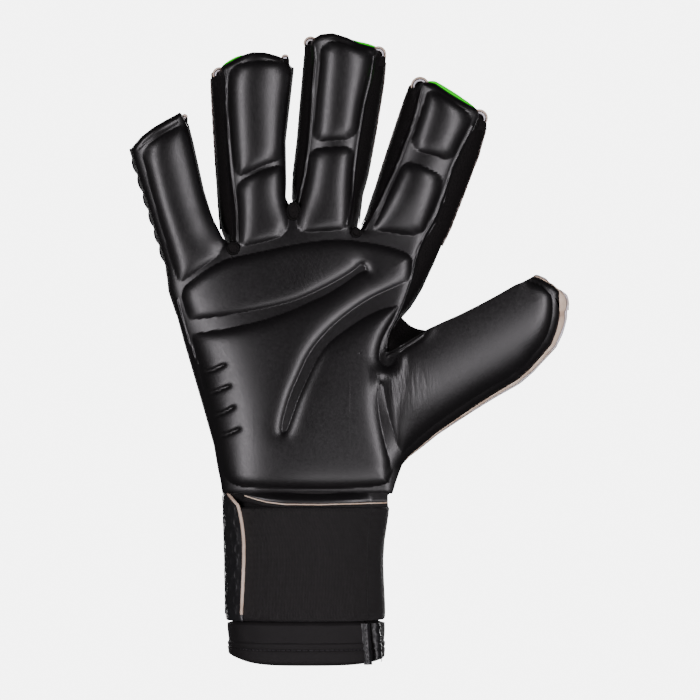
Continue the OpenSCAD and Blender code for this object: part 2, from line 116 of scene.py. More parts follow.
R4 = [(-41.28, 99.11), (-38.96, 98.6), (-36.08, 98.81), (-32.38, 99.85), (-29.07, 101.27), (-28.55, 101.01), (-32.38, 98.94), (-36.08, 97.54), (-38.96, 97.03), (-41.28, 97.31)]
WEDGE = [(32.3, 121.4), (33.67, 117.73), (34.7, 110.34), (36.72, 102.08), (38.79, 95.5), (40.85, 90.6), (39.99, 85.14), (36.55, 83.42), (35.91, 87.72), (34.7, 91.8), (32.64, 100.06), (30.96, 110.34), (30.8, 117.73)]


def side(fn, off, zs):
    return [(float(fn(z)) + off, z) for z in zs]


# Outlines of the finger pads
PINKY = ([(-55.0, 164.4), (-58.3, 175), (-61.0, 185), (-64.3, 195.8), (-67.2, 206.8), (-69.8, 217), (-70.4, 220.6)]
         + [(-65, 225.2), (-59.5, 228.6), (-54.6, 231.5), (-51.6, 231.6), (-50.4, 228.5)]
         + [(-48.4, 224), (-43.4, 204), (-40.8, 196), (-35.4, 184), (-35.2, 178.6), (-36.59, 176.43), (-43.13, 171.27), (-53.49, 163.96)])
RING_LO = ([(-27.2, 179.2), (-29.2, 181.5), (-29.0, 190), (-29.4, 199), (-30.0, 207.0)]
           + [(-24, 210.0), (-17.5, 212.9), (-8.4, 215.2), (-8.0, 206), (-7.8, 197), (-7.4, 190), (-8.2, 186), (-10.6, 183.4), (-18, 181.2)])
RING_UP = ([(-30.4, 208.8), (-31.6, 218), (-32.4, 228), (-33.2, 240), (-33.4, 250), (-32.2, 256.4)]
           + [(-27, 258.2), (-18, 259.2), (-10.6, 258.6), (-6.0, 256.4), (-4.6, 252), (-6.8, 245), (-8.2, 232), (-8.2, 217.6), (-17.6, 214.4), (-24, 211.2)])
MID_LO = ([(-3.2, 186.6), (-4.0, 189), (-3.4, 197), (-0.6, 205), (0.8, 214), (1.6, 221.4)]
          + [(11, 222.3), (21.2, 222.3), (20.2, 214), (19.8, 205), (19.2, 196), (18.4, 188.6), (17.2, 186.8), (8, 185.8), (-1, 185.4)])
MID_UP = ([(2.4, 224.3), (4.0, 236), (4.8, 246), (6.0, 257), (6.4, 266.6)]
          + [(14, 267.6), (22, 264.8), (28.6, 262.6), (28.8, 259), (26.8, 251), (24.0, 240), (21.8, 225.4), (12, 224.8)])
IDX_LO = ([(28.4, 186.2), (29.6, 189), (33.6, 198), (38.4, 208), (42.4, 216.6)]
          + [(48, 214.8), (53.5, 212.6), (59.0, 209.6), (58.0, 204), (55.6, 197), (52.6, 190), (49.2, 183.8), (42, 184.4), (34, 185.8)])
IDX_UP = ([(44.2, 221.6), (47.4, 231), (50.4, 240), (52.4, 247.4)]
          + [(57, 245.4), (63.5, 241.4), (69.4, 237.2), (71.4, 234.4), (69.6, 230.4), (66.2, 224), (62.8, 215.8), (55, 218.2)])
PADS = [(PALM, 2.2, None), (PINKY, 2.5, (-0.27, 0.963)), (RING_LO, 2.1, (-0.05, 1)), (RING_UP, 2.2, (-0.05, 1)), (MID_LO, 2.1, (0.08, 1)),
        (MID_UP, 2.2, (0.09, 1)), (IDX_LO, 2.1, (0.4, 0.917)), (IDX_UP, 2.2, (0.36, 0.933))]
GROOVES = [(G1, 2.4, 1), (G2, 2.4, 1), (WEDGE, 2.6, 1), (R1, 0.8, 0.45), (R2, 0.8, 0.45), (R3, 0.8, 0.45), (R4, 0.8, 0.45)]
WELTS = [[(-29.9, 182), (-29.9, 186.6), (-30.2, 195.8), (-31.8, 206.8), (-33.2, 223), (-34.6, 240), (-34.4, 253), (-36, 257)],
         [(-3.9, 197), (-1.6, 206.8), (0.4, 217.8), (1.8, 231.5), (2.6, 245), (3.9, 262), (2.6, 267)],
         [(25.6, 187), (29.3, 193.1), (33.8, 203.5), (39.2, 214.5), (42.6, 224.3), (46.2, 233.1), (48, 241.9), (50.6, 250)],
         [(18.0, 189), (20.0, 199.7), (20.7, 209.5), (22.3, 223), (25.2, 239.7), (28.0, 250.7), (29.6, 261)],
         [(35.0, 134.6), (35.0, 141), (39.8, 150), (41.6, 154.6), (45.8, 166.6), (47.0, 174), (49.6, 182), (54.6, 189.6), (58.2, 198.6), (61, 207.9), (64.8, 217.8), (71.6, 231)],
         [(35.2, 132.4), (38.6, 134.2), (46.6, 139.2), (50, 141.4)],
         [(-55.4, 156.69), (-52.6, 144.39), (-46.6, 129.0)]]
# Stitched line under the flange of each fingertip
TOPS = [[(-72.0, 221.4), (-66, 226.6), (-60, 230.2), (-55.4, 232.8)],
        [(-32.6, 257.8), (-27, 260.2), (-19, 261.4), (-11.6, 260.2)],
        [(5.6, 268.4), (9.5, 269.2), (16, 268), (24, 265), (29, 264)],
        [(52.5, 249), (58, 246.6), (64.5, 242.4), (70.8, 238.2)]]


# ------------------------------------------------------------------ distances
def inside(x, z, poly):
    r = np.zeros(x.shape, bool)
    n = len(poly)
    for a in range(n):
        x0, z0 = poly[a]
        x1, z1 = poly[(a + 1) % n]
        if z0 == z1:
            continue
        hit = ((z0 > z) != (z1 > z)) & (x < (x1 - x0) * (z - z0) / (z1 - z0) + x0)
        r ^= hit
    return r


def distance(x, z, poly, closed=True):
    best = np.full(x.shape, 1e9)
    n = len(poly)
    for a in range(n if closed else n - 1):
        x0, z0 = poly[a]
        x1, z1 = poly[(a + 1) % n]
        ex, ez = x1 - x0, z1 - z0
        t = np.clip(((x - x0) * ex + (z - z0) * ez) / max(ex * ex + ez * ez, 1e-9), 0, 1)
        best = np.minimum(best, (x - x0 - t * ex) ** 2 + (z - z0 - t * ez) ** 2)
    return np.sqrt(best)


def chaikin(poly, times=2, closed=True):
    p = [tuple(q) for q in poly]
    for _ in range(times):
        out = []
        n = len(p)
        for a in range(n if closed else n - 1):
            q, r = p[a], p[(a + 1) % n]
            out += [(q[0] * 0.75 + r[0] * 0.25, q[1] * 0.75 + r[1] * 0.25), (q[0] * 0.25 + r[0] * 0.75, q[1] * 0.25 + r[1] * 0.75)]
        if not closed:
            out = [p[0]] + out[1:-1] + [p[-1]]
        p = out
    return p




def four_sides(poly, axis):
    """The outline split into its left, right, lower and upper side."""
    p = np.array(poly)
    c = p.mean(0)
    q = np.roll(p, -1, 0)
    t = q - p
    mid = (p + q) / 2 - c
    a = np.array(axis, float)
    b = np.array([a[1], -a[0]])
    long_ = np.abs(t @ a) > np.abs(t @ b)
    key = np.where(long_, np.where(mid @ b > 0, 1, 0), np.where(mid @ a > 0, 3, 2))
    return [[(p[n], q[n]) for n in range(len(p)) if key[n] == k] for k in range(4)]


def side_distance(x, z, segs):
    best = np.full(x.shape, 1e9)
    for (x0, z0), (x1, z1) in segs:
        ex, ez = x1 - x0, z1 - z0
        t = np.clip(((x - x0) * ex + (z - z0) * ez) / max(ex * ex + ez * ez, 1e-9), 0, 1)
        best = np.minimum(best, (x - x0 - t * ex) ** 2 + (z - z0 - t * ez) ** 2)
    return np.sqrt(best)


PADS = [(chaikin(p, 3), k, a) for p, k, a in PADS]
PADS = [(p, k, four_sides(p, a) if a else None) for p, k, a in PADS]
GROOVES = [(chaikin(p, 2), k, f) for p, k, f in GROOVES]
WELTS = [chaikin(p, 2, False) for p in WELTS]
TOPS = [chaikin(p, 2, False) for p in TOPS]


def near(x, z, poly, m=12.0):
    a = np.array(poly)
    return (x > a[:, 0].min() - m) & (x < a[:, 0].max() + m) & (z > a[:, 1].min() - m) & (z < a[:, 1].max() + m)


def smooth(v):
    v = np.clip(v, 0, 1)
    return v * v * (3 - 2 * v)


RIMS = ([(side(FL[0], -0.2, np.linspace(73, 222, 30)), 1.9, 1.25), ([(-37, 73.2), (38, 73.2)], 1.3, 1.0),
         ([(41.2, 85.4), (44.1, 89.4), (49.4, 93.8), (55.5, 99), (62.5, 103.9), (71.3, 110), (80.1, 115.7), (91.1, 122.3), (96.6, 127.2), (100.8, 132), (105.2, 137.3), (107.4, 143), (108.7, 149.1), (108.8, 155.3), (108.4, 160.1), (105.6, 162.8), (97.7, 166.6)], 2.2, 1.3),
         (side(FR[0], 0.2, np.linspace(181, 232, 12)), 1.6, 1.0)]
        + [(side(FL[i], -0.1, np.linspace(CROTCH[i - 1] + 3, TIPS[i][0][1] + 3, 14)), 2.3, 1.5) for i in (1, 2, 3)]
        + [(side(FR[i], 0.1, np.linspace(a, b, 14)), 2.2, 1.4) for i, a, b in ((1, 198, 256), (2, 188, 262), (3, 136, 236))]
        + [([(float(EL[i](t) + u * (ER[i](t) - EL[i](t))), t + 0.2) for u, t in TIPS[i]], 1.4, 1.0) for i in range(4)])
H = 2.5
FOLDS = []
rng = np.random.RandomState(7)
for k in range(0):
    FOLDS.append((-14 + 1.85 * k + rng.uniform(-0.4, 0.4), 169.5 + rng.uniform(-2.5, 2.5), rng.uniform(2.6, 4.6), math.radians(rng.uniform(112, 124)), rng.uniform(0.035, 0.07)))
for k in range(6):      # folds at the root of the thumb
    FOLDS.append((39.2 + 2.4 * k, 121.5 - 0.35 * k + rng.uniform(-2.5, 2.5), rng.uniform(5, 9), math.radians(rng.uniform(94, 101)), rng.uniform(0.06, 0.13)))


def relief(x, z):
    """Height of the padded skin above its seams and grooves."""
    s = np.zeros(x.shape)
    for poly, k, sides in PADS:
        m = near(x, z, poly, 0.5)
        if not m.any():
            continue
        xm, zm = x[m], z[m]
        ins = inside(xm, zm, poly)
        v = np.zeros(xm.shape)
        if ins.any():
            if sides is None:
                v[ins] = 1 - np.exp(-distance(xm[ins], zm[ins], poly) / k)
            else:
                r = np.ones(ins.sum())
                for seg in sides:
                    r *= 1 - np.exp(-side_distance(xm[ins], zm[ins], seg) / k)
                v[ins] = r
        s[m] = np.maximum(s[m], v)
    for poly, k, deep in GROOVES:
        m = near(x, z, poly)
        if not m.any():
            continue
        xm, zm = x[m], z[m]
        d = distance(xm, zm, poly)
        d[inside(xm, zm, poly)] = 0
        s[m] *= 1 - deep * np.exp(-d / k)
    h = H * s
    for line in WELTS:
        m = near(x, z, line, 3)
        if m.any():
            d = distance(x[m], z[m], line, False)
            h[m] = h[m] + 0.55 * np.exp(-(d / 0.42) ** 2)
    for line in TOPS:
        m = near(x, z, line, 3)
        if m.any():
            d = distance(x[m], z[m], line, False)
            h[m] = h[m] - 0.3 * np.exp(-(d / 0.5) ** 2)
    for line, deep, k in RIMS:      # the skin turns away towards its seams
        m = near(x, z, line, 8)
        if m.any():
            d = distance(x[m], z[m], line, False)
            h[m] = h[m] - deep * np.exp(-d / k)
    for a, b, l, g, dep in FOLDS:
        m = (abs(x - a) < l + 1) & (abs(z - b) < l + 1)
        if m.any():
            c, sn = math.cos(g), math.sin(g)
            u = (x[m] - a) * c + (z[m] - b) * sn
            w = -(x[m] - a) * sn + (z[m] - b) * c + 0.22 * np.sin(u * 0.6 + a)
            h[m] = h[m] - dep * np.exp(-(w / 0.5) ** 2) * np.clip(1 - (u / l) ** 2, 0, 1)
    return h


def finger_mid(i, z):
    sh = np.maximum(0, (z - KZ[i]) / 80)
    return -5 * sh * sh, sh


SIDE = soft([[73, 0.9], [120, 0.9], [150, 0.75], [175, 0.5], [190, 0.45]], 8)
LEFT = soft([[73, 8.8], [88, 10.5], [108, 13], [128, 13], [145, 10.2], [160, 7.2], [175, 5.4], [190, 4.4]], 8)
CURVE = [0.026, 0.026, 0.026, 0.022]


def base_front(x, z):
    c0 = HAND_D(z) - H
    dx = x + 4
    u = np.clip(-dx / (-4 - np.minimum(HL(z), -36)), 0, 1.1)
    drop = np.where(dx < 0, LEFT(z) * (0.5 * u ** 2 + 0.5 * u ** 4), 0.10 * (np.sqrt(dx * dx + 100) - 10))
    palm = -(c0 - drop)
    acc = np.zeros(x.shape)
    for i in range(4):
        c, sh = finger_mid(i, z)
        d = np.abs(x - XV[i](z))
        d = np.where(d > 14, 14 + (d - 14) * 0.45, d)
        f = -(13.5 - sh - H) + c + CURVE[i] * d * d * (1 - 0.018 * d)
        far = np.abs(x - XV[i](z)) > 30
        acc += np.where(far, 0, np.exp(-f / 0.7))
    fingers = -0.7 * np.log(np.maximum(acc, 1e-300))
    fingers = np.where(np.isfinite(fingers) & (acc > 0), fingers, palm)
    w = smooth((z - KNUCKLE(x)) / 26)
    return palm * (1 - w) + fingers * w


def y_front(x, z):
    x, z = np.broadcast_arrays(np.asarray(x, float), np.asarray(z, float))
    shape = x.shape
    x, z = x.ravel(), z.ravel()
    return (base_front(x, z) - relief(x, z)).reshape(shape)


# ---- back of the glove
def smooth_box(x, z, poly, k):
    m = inside(x, z, poly)
    v = np.zeros(x.shape)
    if m.any():
        v[m] = 1 - np.exp(-distance(x[m], z[m], poly) / k)
    return v


def finger_panel(i, z0, z1, inset=3.0):
    zs = np.linspace(z0, z1, 6)
    return chaikin([(float(EL[i](z)) + inset, z) for z in zs] + [(float(ER[i](z)) - inset, z) for z in zs[::-1]], 2)


BACK_PADS = []
for i, cuts in enumerate(([(176, 189), (192, 205), (208, 219)], [(190, 203), (206, 217), (220, 233), (236, 247)],
                          [(196, 209), (212, 224), (227, 240), (243, 254)], [(191, 203), (206, 217), (220, 228), (230.5, 236)])):
    for a, b in cuts:
        BACK_PADS.append((finger_panel(i, a, b), 1.3))
# Raised bars over the back of the hand
for k in range(4):
    x0 = [-46, -19, 8, 34][k]
    top = [164, 176, 181, 176][k]
    x1 = [-26, -10, 6, 20][k]
    BACK_PADS.append((chaikin([(x1 - 4.5, 104 + 2 * k), (x1 + 4.5, 104 + 2 * k), (x0 + 8.5, top - 22), (x0 + 9, top), (x0 - 9, top), (x0 - 8.5, top - 22)], 3), 1.8))
BACK_PADS.append((chaikin([(-31, 80), (31, 80), (33, 97), (0, 99), (-33, 97)], 3), 1.6))


def y_back(x, z):
    x, z = np.broadcast_arrays(np.asarray(x, float), np.asarray(z, float))
    shape = x.shape
    x, z = x.ravel(), z.ravel()
    c0 = HAND_D(z) - 1.2
    dx = x + 2
    kl = SIDE(z)
    palm = c0 - np.where(dx < 0, 0.27 * kl, 0.16) * (np.sqrt(dx * dx + 100) - 10)
    acc = np.zeros(x.shape)
    for i in range(4):
        c, sh = finger_mid(i, z)
        mid = (EL[i](z) + ER[i](z)) / 2
        d = np.abs(x - mid)
        f = 13.5 - sh - 1.2 + c - 0.017 * d * d
        acc += np.where(d > 32, 0, np.exp(f / 0.8))
    fingers = 0.8 * np.log(np.maximum(acc, 1e-300))
    fingers = np.where(acc > 0, fingers, palm)
    w = smooth((z - KNUCKLE(x)) / 24)
    base = palm * (1 - w) + fingers * w
    s = np.zeros(x.shape)
    for poly, k in BACK_PADS:
        m = near(x, z, poly, 0.5)
        if m.any():
            s[m] = np.maximum(s[m], smooth_box(x[m], z[m], poly, k))
    return (base + 1.5 * s).reshape(shape)


# ------------------------------------------------------------------ mesh helpers
ALL = []


def grid(name, P, mat, normals=None, uv=None, wrap=False, flip=False, more=None):
    """A mesh from one or more grids of points (rows, columns, 3), in mm."""
    sheets = [(P, normals, uv)] + (more or [])
    vs, fs, ns, us = [], [], [], []
    base = 0
    for pts, nor, tex in sheets:
        n, m = pts.shape[:2]
        idx = np.arange(n * m).reshape(n, m) + base
        a = idx[:-1, :-1].ravel()
        b = idx[:-1, 1:].ravel()
        c = idx[1:, 1:].ravel()
        d = idx[1:, :-1].ravel()
        fs.append(np.stack([a, d, c, b] if flip else [a, b, c, d], 1))
        vs.append(pts.reshape(-1, 3))
        ns.append(np.zeros((n * m, 3)) if nor is None else nor.reshape(-1, 3))
        if tex is None:
            tex = np.stack([pts[..., 0], pts[..., 2]], -1)
        us.append(tex.reshape(-1, 2))
        base += n * m
    v = np.concatenate(vs) / 1000
    f = np.concatenate(fs)
    u = np.concatenate(us) / 1000
    # faces with no area are left out
    ar = np.linalg.norm(np.cross(v[f[:, 2]] - v[f[:, 0]], v[f[:, 3]] - v[f[:, 1]]), axis=1)
    f = f[ar > 1e-10]
    me = bpy.data.meshes.new(name)
    me.from_pydata(v.tolist(), [], f.tolist())
    layer = me.uv_layers.new(name="UVMap")
    layer.data.foreach_set("uv", u[f.ravel()].astype(np.float32).ravel())
    me.polygons.foreach_set("use_smooth", [True] * len(me.polygons))
    me.materials.append(mat)
    me.update()
    o = bpy.data.objects.new(name, me)
    bpy.context.scene.collection.objects.link(o)
    if normals is not None:
        n = np.concatenate(ns)
        l = np.linalg.norm(n, axis=1, keepdims=True)
        me.normals_split_custom_set_from_vertices((n / np.maximum(l, 1e-9)).tolist())
    ALL.append(o)
    return o


def weld(o, d=0.00002):
    import bmesh
    bm = bmesh.new()
    bm.from_mesh(o.data)
    bmesh.ops.remove_doubles(bm, verts=bm.verts, dist=d)
    bm.to_mesh(o.data)
    bm.free()
    return o


def skin(x, z, fn, sign):
    """Points and normals of a height field over x and z. sign is -1 for the front, 1 for the back."""
    y = fn(x, z)
    e = 0.2
    gx = (fn(x + e, z) - fn(x - e, z)) / (2 * e)
    gz = (fn(x, z + e) - fn(x, z - e)) / (2 * e)
    n = np.stack([-gx * sign, np.full(x.shape, float(sign)), -gz * sign], -1)
    return np.stack([x, y, z], -1), n


def tube(path, r, n=10, closed=False, flat=1.0, up=None):
    """A round or flattened tube along points, as a grid."""
    p = np.array(path, float)
    t = np.gradient(p, axis=0)
    if closed:
        t = np.roll(p, -1, 0) - np.roll(p, 1, 0)
    t /= np.linalg.norm(t, axis=1, keepdims=True)
    up = np.array(up if up is not None else [0, 1, 0], float)
    a = np.cross(t, up)
    a /= np.maximum(np.linalg.norm(a, axis=1, keepdims=True), 1e-6)
    b = np.cross(a, t)
    r = np.broadcast_to(np.asarray(r, float), (len(p),))
    g = np.linspace(0, 2 * PI, n + 1)
    pts = p[:, None] + r[:, None, None] * (np.cos(g)[None, :, None] * a[:, None] + flat * np.sin(g)[None, :, None] * b[:, None])
    if closed:
        pts = np.concatenate([pts, pts[:1]])
    else:
        pts = np.concatenate([np.repeat(p[:1, None], n + 1, 1), pts, np.repeat(p[-1:, None], n + 1, 1)])
    uv = np.zeros(pts.shape[:2] + (2,))
    uv[..., 0] = np.linspace(0, len(pts), len(pts))[:, None]
    uv[..., 1] = g[None, :] * 1.0
    return pts, None, uv


# ------------------------------------------------------------------ materials
class Mat:
    def __init__(self, name, color, rough, spec=0.5):
        self.m = bpy.data.materials.new(name)
        self.m.use_nodes = True
        self.nt = self.m.node_tree
        self.b = next(n for n in self.nt.nodes if n.type == "BSDF_PRINCIPLED")
        self.b.inputs["Base Color"].default_value = (*color, 1)
        self.b.inputs["Roughness"].default_value = rough
        self.b.inputs["Specular IOR Level"].default_value = spec
        self.last = None
        self.tc = self.nt.nodes.new("ShaderNodeTexCoord")

    def node(self, kind, **kw):
        n = self.nt.nodes.new(kind)
        for k, v in kw.items():
            if k in n.inputs:
                n.inputs[k].default_value = v
            else:
                setattr(n, k, v)
        return n

    def link(self, a, b):
        self.nt.links.new(a, b)

    def mapping(self, scale=(1, 1, 1), uv=False):
        mp = self.nt.nodes.new("ShaderNodeMapping")
        mp.inputs["Scale"].default_value = scale
        self.link(self.tc.outputs["UV" if uv else "Object"], mp.inputs["Vector"])
        return mp.outputs["Vector"]

    def noise(self, scale, detail=3, stretch=(1, 1, 1), uv=False, rough=0.55):
        n = self.node("ShaderNodeTexNoise")
        n.inputs["Scale"].default_value = scale
        n.inputs["Detail"].default_value = detail
        n.inputs["Roughness"].default_value = rough
        self.link(self.mapping(stretch, uv), n.inputs["Vector"])
        return n.outputs["Fac"]

    def wave(self, scale, direction="X", uv=False, distortion=0.0, stretch=(1, 1, 1)):
        n = self.node("ShaderNodeTexWave", wave_type="BANDS", bands_direction=direction)
        n.inputs["Scale"].default_value = scale
        n.inputs["Distortion"].default_value = distortion
        n.inputs["Detail"].default_value = 1.0
        self.link(self.mapping(stretch, uv), n.inputs["Vector"])
        return n.outputs["Fac"]

    def voronoi(self, scale, uv=False, stretch=(1, 1, 1), feature="F1", out="Distance"):
        n = self.node("ShaderNodeTexVoronoi", feature=feature)
        n.inputs["Scale"].default_value = scale
        self.link(self.mapping(stretch, uv), n.inputs["Vector"])
        return n.outputs[out]

    def mul(self, a, b):
        n = self.node("ShaderNodeMath", operation="MULTIPLY")
        self.link(a, n.inputs[0])
        self.link(b, n.inputs[1])
        return n.outputs[0]

    def bump(self, height, strength, dist):
        n = self.node("ShaderNodeBump")
        n.inputs["Strength"].default_value = strength
        n.inputs["Distance"].default_value = dist
        self.link(height, n.inputs["Height"])
        if self.last is not None:
            self.link(self.last, n.inputs["Normal"])
        self.last = n.outputs["Normal"]
        self.link(self.last, self.b.inputs["Normal"])
        return self

    def ramp(self, fac, stops, socket):
        n = self.node("ShaderNodeValToRGB")
        el = n.color_ramp.elements
        while len(el) < len(stops):
            el.new(0.5)
        for e, (p, c) in zip(el, stops):
            e.position = p
            e.color = (*c, 1) if len(c) == 3 else c
        self.link(fac, n.inputs["Fac"])
        self.link(n.outputs["Color"], self.b.inputs[socket])
        return self

    def ramp_rough(self, fac, lo, hi, a=0.3, b=0.7):
        n = self.node("ShaderNodeMapRange")
        n.inputs["From Min"].default_value = a
        n.inputs["From Max"].default_value = b
        n.inputs["To Min"].default_value = lo
        n.inputs["To Max"].default_value = hi
        self.link(fac, n.inputs["Value"])
        self.link(n.outputs["Result"], self.b.inputs["Roughness"])
        return self

    def sheen(self, weight, rough=0.4, tint=(1, 1, 1)):
        self.b.inputs["Sheen Weight"].default_value = weight
        self.b.inputs["Sheen Roughness"].default_value = rough
        self.b.inputs["Sheen Tint"].default_value = (*tint, 1)
        return self


palm = Mat("palm_skin", (0.0045, 0.004, 0.0043), 0.38, 0.62)
palm.ramp(palm.noise(60, 4), [(0.3, (0.0038, 0.0033, 0.0036)), (0.7, (0.0058, 0.005, 0.0055))], "Base Color")
palm.ramp_rough(palm.noise(900, 4), 0.33, 0.42)
palm.bump(palm.noise(2600, 3), 0.10, 0.00008)
palm.bump(palm.noise(420, 5, (1, 1, 0.5)), 0.12, 0.0002)
palm.bump(palm.voronoi(1500), 0.05, 0.00006)



def creases(mat, at, radius, scale, stretch, turn, strength):
    """Fine creases that fade out away from one spot."""
    dn = mat.node("ShaderNodeVectorMath", operation="DISTANCE")
    mat.link(mat.tc.outputs["Object"], dn.inputs[0])
    dn.inputs[1].default_value = at
    mr = mat.node("ShaderNodeMapRange")
    mr.inputs["From Min"].default_value = radius
    mr.inputs["From Max"].default_value = radius * 0.3
    mr.inputs["To Min"].default_value = 0
    mr.inputs["To Max"].default_value = 1
    mat.link(dn.outputs["Value"], mr.inputs["Value"])
    m0 = mat.nt.nodes.new("ShaderNodeMapping")
    m0.inputs["Rotation"].default_value = (0, turn, 0)
    mat.link(mat.tc.outputs["Object"], m0.inputs["Vector"])
    mp = mat.nt.nodes.new("ShaderNodeMapping")
    mp.inputs["Scale"].default_value = stretch
    mat.link(m0.outputs["Vector"], mp.inputs["Vector"])
    ns = mat.node("ShaderNodeTexNoise")
    ns.inputs["Scale"].default_value = scale
    ns.inputs["Detail"].default_value = 3
    mat.link(mp.outputs["Vector"], ns.inputs["Vector"])
    mat.bump(mat.mul(ns.outputs["Fac"], mr.outputs["Result"]), strength, 0.0012)


creases(palm, (0.0430, -0.016, 0.1205), 0.0165, 850, (1, 0.2, 0.13), 0.06, 0.36)
creases(palm, (-0.002, -0.014, 0.1695), 0.015, 1000, (1, 0.2, 0.16), 0.5, 0.13)

back = Mat("backhand_skin", (0.014, 0.014, 0.015), 0.6, 0.22)
back.ramp(back.noise(70, 4), [(0.3, (0.011, 0.011, 0.012)), (0.7, (0.018, 0.018, 0.019))], "Base Color")
back.ramp_rough(back.noise(700, 3), 0.5, 0.66)
back.bump(back.voronoi(1400), 0.22, 0.00012)
back.bump(back.noise(2500, 3), 0.12, 0.00008)

mesh = Mat("mesh_fabric", (0.006, 0.0055, 0.006), 0.8, 0.15)
mesh.ramp(mesh.voronoi(1300, uv=True), [(0.15, (0.0015, 0.0012, 0.0012)), (0.5, (0.006, 0.005, 0.005))], "Base Color")
mesh.bump(mesh.voronoi(1300, uv=True), 0.6, 0.00025)
mesh.bump(mesh.noise(300, 3), 0.15, 0.0003)

lining = Mat("lining_knit", (0.035, 0.035, 0.038), 0.85, 0.2)
lining.ramp(lining.wave(900, "X", True), [(0.2, (0.022, 0.022, 0.024)), (0.8, (0.05, 0.05, 0.054))], "Base Color")
lining.bump(lining.wave(900, "Y", True), 0.35, 0.0002)
lining.sheen(0.15)

neo = Mat("neoprene_jersey", (0.008, 0.008, 0.0085), 0.72, 0.3)
neo.ramp(neo.wave(1100, "X", True, 1.5), [(0.1, (0.0035, 0.0028, 0.003)), (0.9, (0.0085, 0.0072, 0.0076))], "Base Color")
neo.bump(neo.wave(1100, "X", True, 1.5), 0.25, 0.0001)
neo.bump(neo.wave(1500, "Y", True, 1.5), 0.2, 0.0001)
neo.bump(neo.noise(160, 3), 0.15, 0.0006)
neo.sheen(0.03)

bind = Mat("binding_tape", (0.010, 0.010, 0.011), 0.32, 0.6)
bind.bump(bind.wave(1500, "Y", True), 0.25, 0.0001)
bind.bump(bind.noise(500, 3), 0.2, 0.0002)
bind.ramp_rough(bind.noise(250, 3), 0.26, 0.4)

elastic = Mat("ribbed_elastic", (0.010, 0.009, 0.009), 0.66, 0.4)
elastic.ramp(elastic.mul(elastic.wave(480, "X", True), elastic.wave(620, "Y", True)), [(0.0, (0.003, 0.0024, 0.0024)), (0.45, (0.0125, 0.0105, 0.0108))], "Base Color")
elastic.bump(elastic.wave(480, "X", True), 0.7, 0.00035)
elastic.bump(elastic.wave(620, "Y", True), 0.5, 0.0002)
elastic.bump(elastic.noise(60, 3, (1, 1, 0.3)), 0.2, 0.001)
elastic.sheen(0.03)

tab = Mat("tab_rubber", (0.011, 0.011, 0.012), 0.36, 0.55)
tab.ramp_rough(tab.noise(400, 3), 0.3, 0.46)
tab.bump(tab.noise(1800, 3), 0.12, 0.0001)

hook = Mat("hook_pile", (0.02, 0.02, 0.021), 0.8, 0.3)
hook.ramp(hook.voronoi(1400, True), [(0.1, (0.045, 0.045, 0.047)), (0.5, (0.008, 0.008, 0.009))], "Base Color")
hook.bump(hook.voronoi(1400, True), 0.9, 0.0006)
hook.sheen(0.1)

cut = Mat("foam_cut_edge", (0.62, 0.5, 0.4), 0.6, 0.35)
cut.ramp(cut.noise(130, 5, (1, 1, 1)), [(0.28, (0.26, 0.15, 0.10)), (0.40, (0.58, 0.43, 0.32)), (0.62, (0.74, 0.60, 0.48)), (0.8, (0.80, 0.74, 0.70))], "Base Color")
cut.bump(cut.noise(900, 4), 0.4, 0.0003)

white = Mat("foam_white", (0.72, 0.70, 0.72), 0.55, 0.35)
white.ramp(white.noise(220, 4), [(0.30, (0.46, 0.37, 0.33)), (0.5, (0.72, 0.69, 0.72)), (0.75, (0.78, 0.76, 0.86))], "Base Color")
white.bump(white.noise(900, 4), 0.3, 0.0002)

worn = Mat("worn_edge", (0.3, 0.25, 0.22), 0.6, 0.35)
worn.ramp(worn.noise(420, 6, (1, 1, 1), False, 0.75), [(0.40, (0.012, 0.010, 0.010)), (0.50, (0.10, 0.07, 0.055)), (0.60, (0.42, 0.36, 0.34)), (0.75, (0.66, 0.62, 0.64))], "Base Color")
worn.bump(worn.noise(1100, 4), 0.5, 0.0003)

beige = Mat("beige_trim", (0.66, 0.52, 0.42), 0.55, 0.4)
beige.ramp(beige.noise(160, 4), [(0.3, (0.52, 0.38, 0.29)), (0.7, (0.74, 0.60, 0.50))], "Base Color")
beige.bump(beige.noise(1200, 3), 0.3, 0.0002)

green = Mat("green_accent_painted_glow", (0.0, 0.42, 0.004), 0.55, 0.12)
green.ramp(green.noise(90, 3), [(0.3, (0.0, 0.38, 0.003)), (0.7, (0.0, 0.46, 0.005))], "Base Color")
green.bump(green.voronoi(1500), 0.15, 0.0001)
# the emission makes the green panels glow brighter than their lighting makes them: painted light
green.b.inputs["Emission Color"].default_value = (0.0, 0.85, 0.0, 1)
green.b.inputs["Emission Strength"].default_value = 0.9

seam_black = Mat("rolled_seam", (0.0035, 0.003, 0.003), 0.7, 0.12)
seam_black.bump(seam_black.noise(900, 4), 0.5, 0.0003)
seam_black.ramp_rough(seam_black.noise(500, 3), 0.62, 0.8)
thread = Mat("seam_thread", (0.028, 0.027, 0.029), 0.5, 0.5)
thread.bump(thread.wave(1400, "X", False, 1.0, (1, 1, 1)), 0.6, 0.0002)
thread.bump(thread.noise(1500, 3), 0.3, 0.0001)


FINGER = ["pinky", "ring", "middle", "index"]
CUTZ = [None, 201, 206, 202]       # where a finger's lower and upper pieces meet


def root_blend(o):
    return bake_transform(o)


def tip_blend(o):
    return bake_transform(o)


HINGE = (37.85, 111.0)
ED = (0.9892, 0.1465)


def thumb_e(x, z):
    return (x - HINGE[0]) * ED[0] + (z - HINGE[1]) * ED[1]


def thumb_blend(o):
    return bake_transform(o)


def done(o, *nodes, pad=None):
    if nodes:
        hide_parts(*nodes)
    return o


STEP = 0.62


def rows(z0, z1, step=STEP):
    return np.linspace(z0, z1, max(3, int(round((z1 - z0) / step)) + 1))


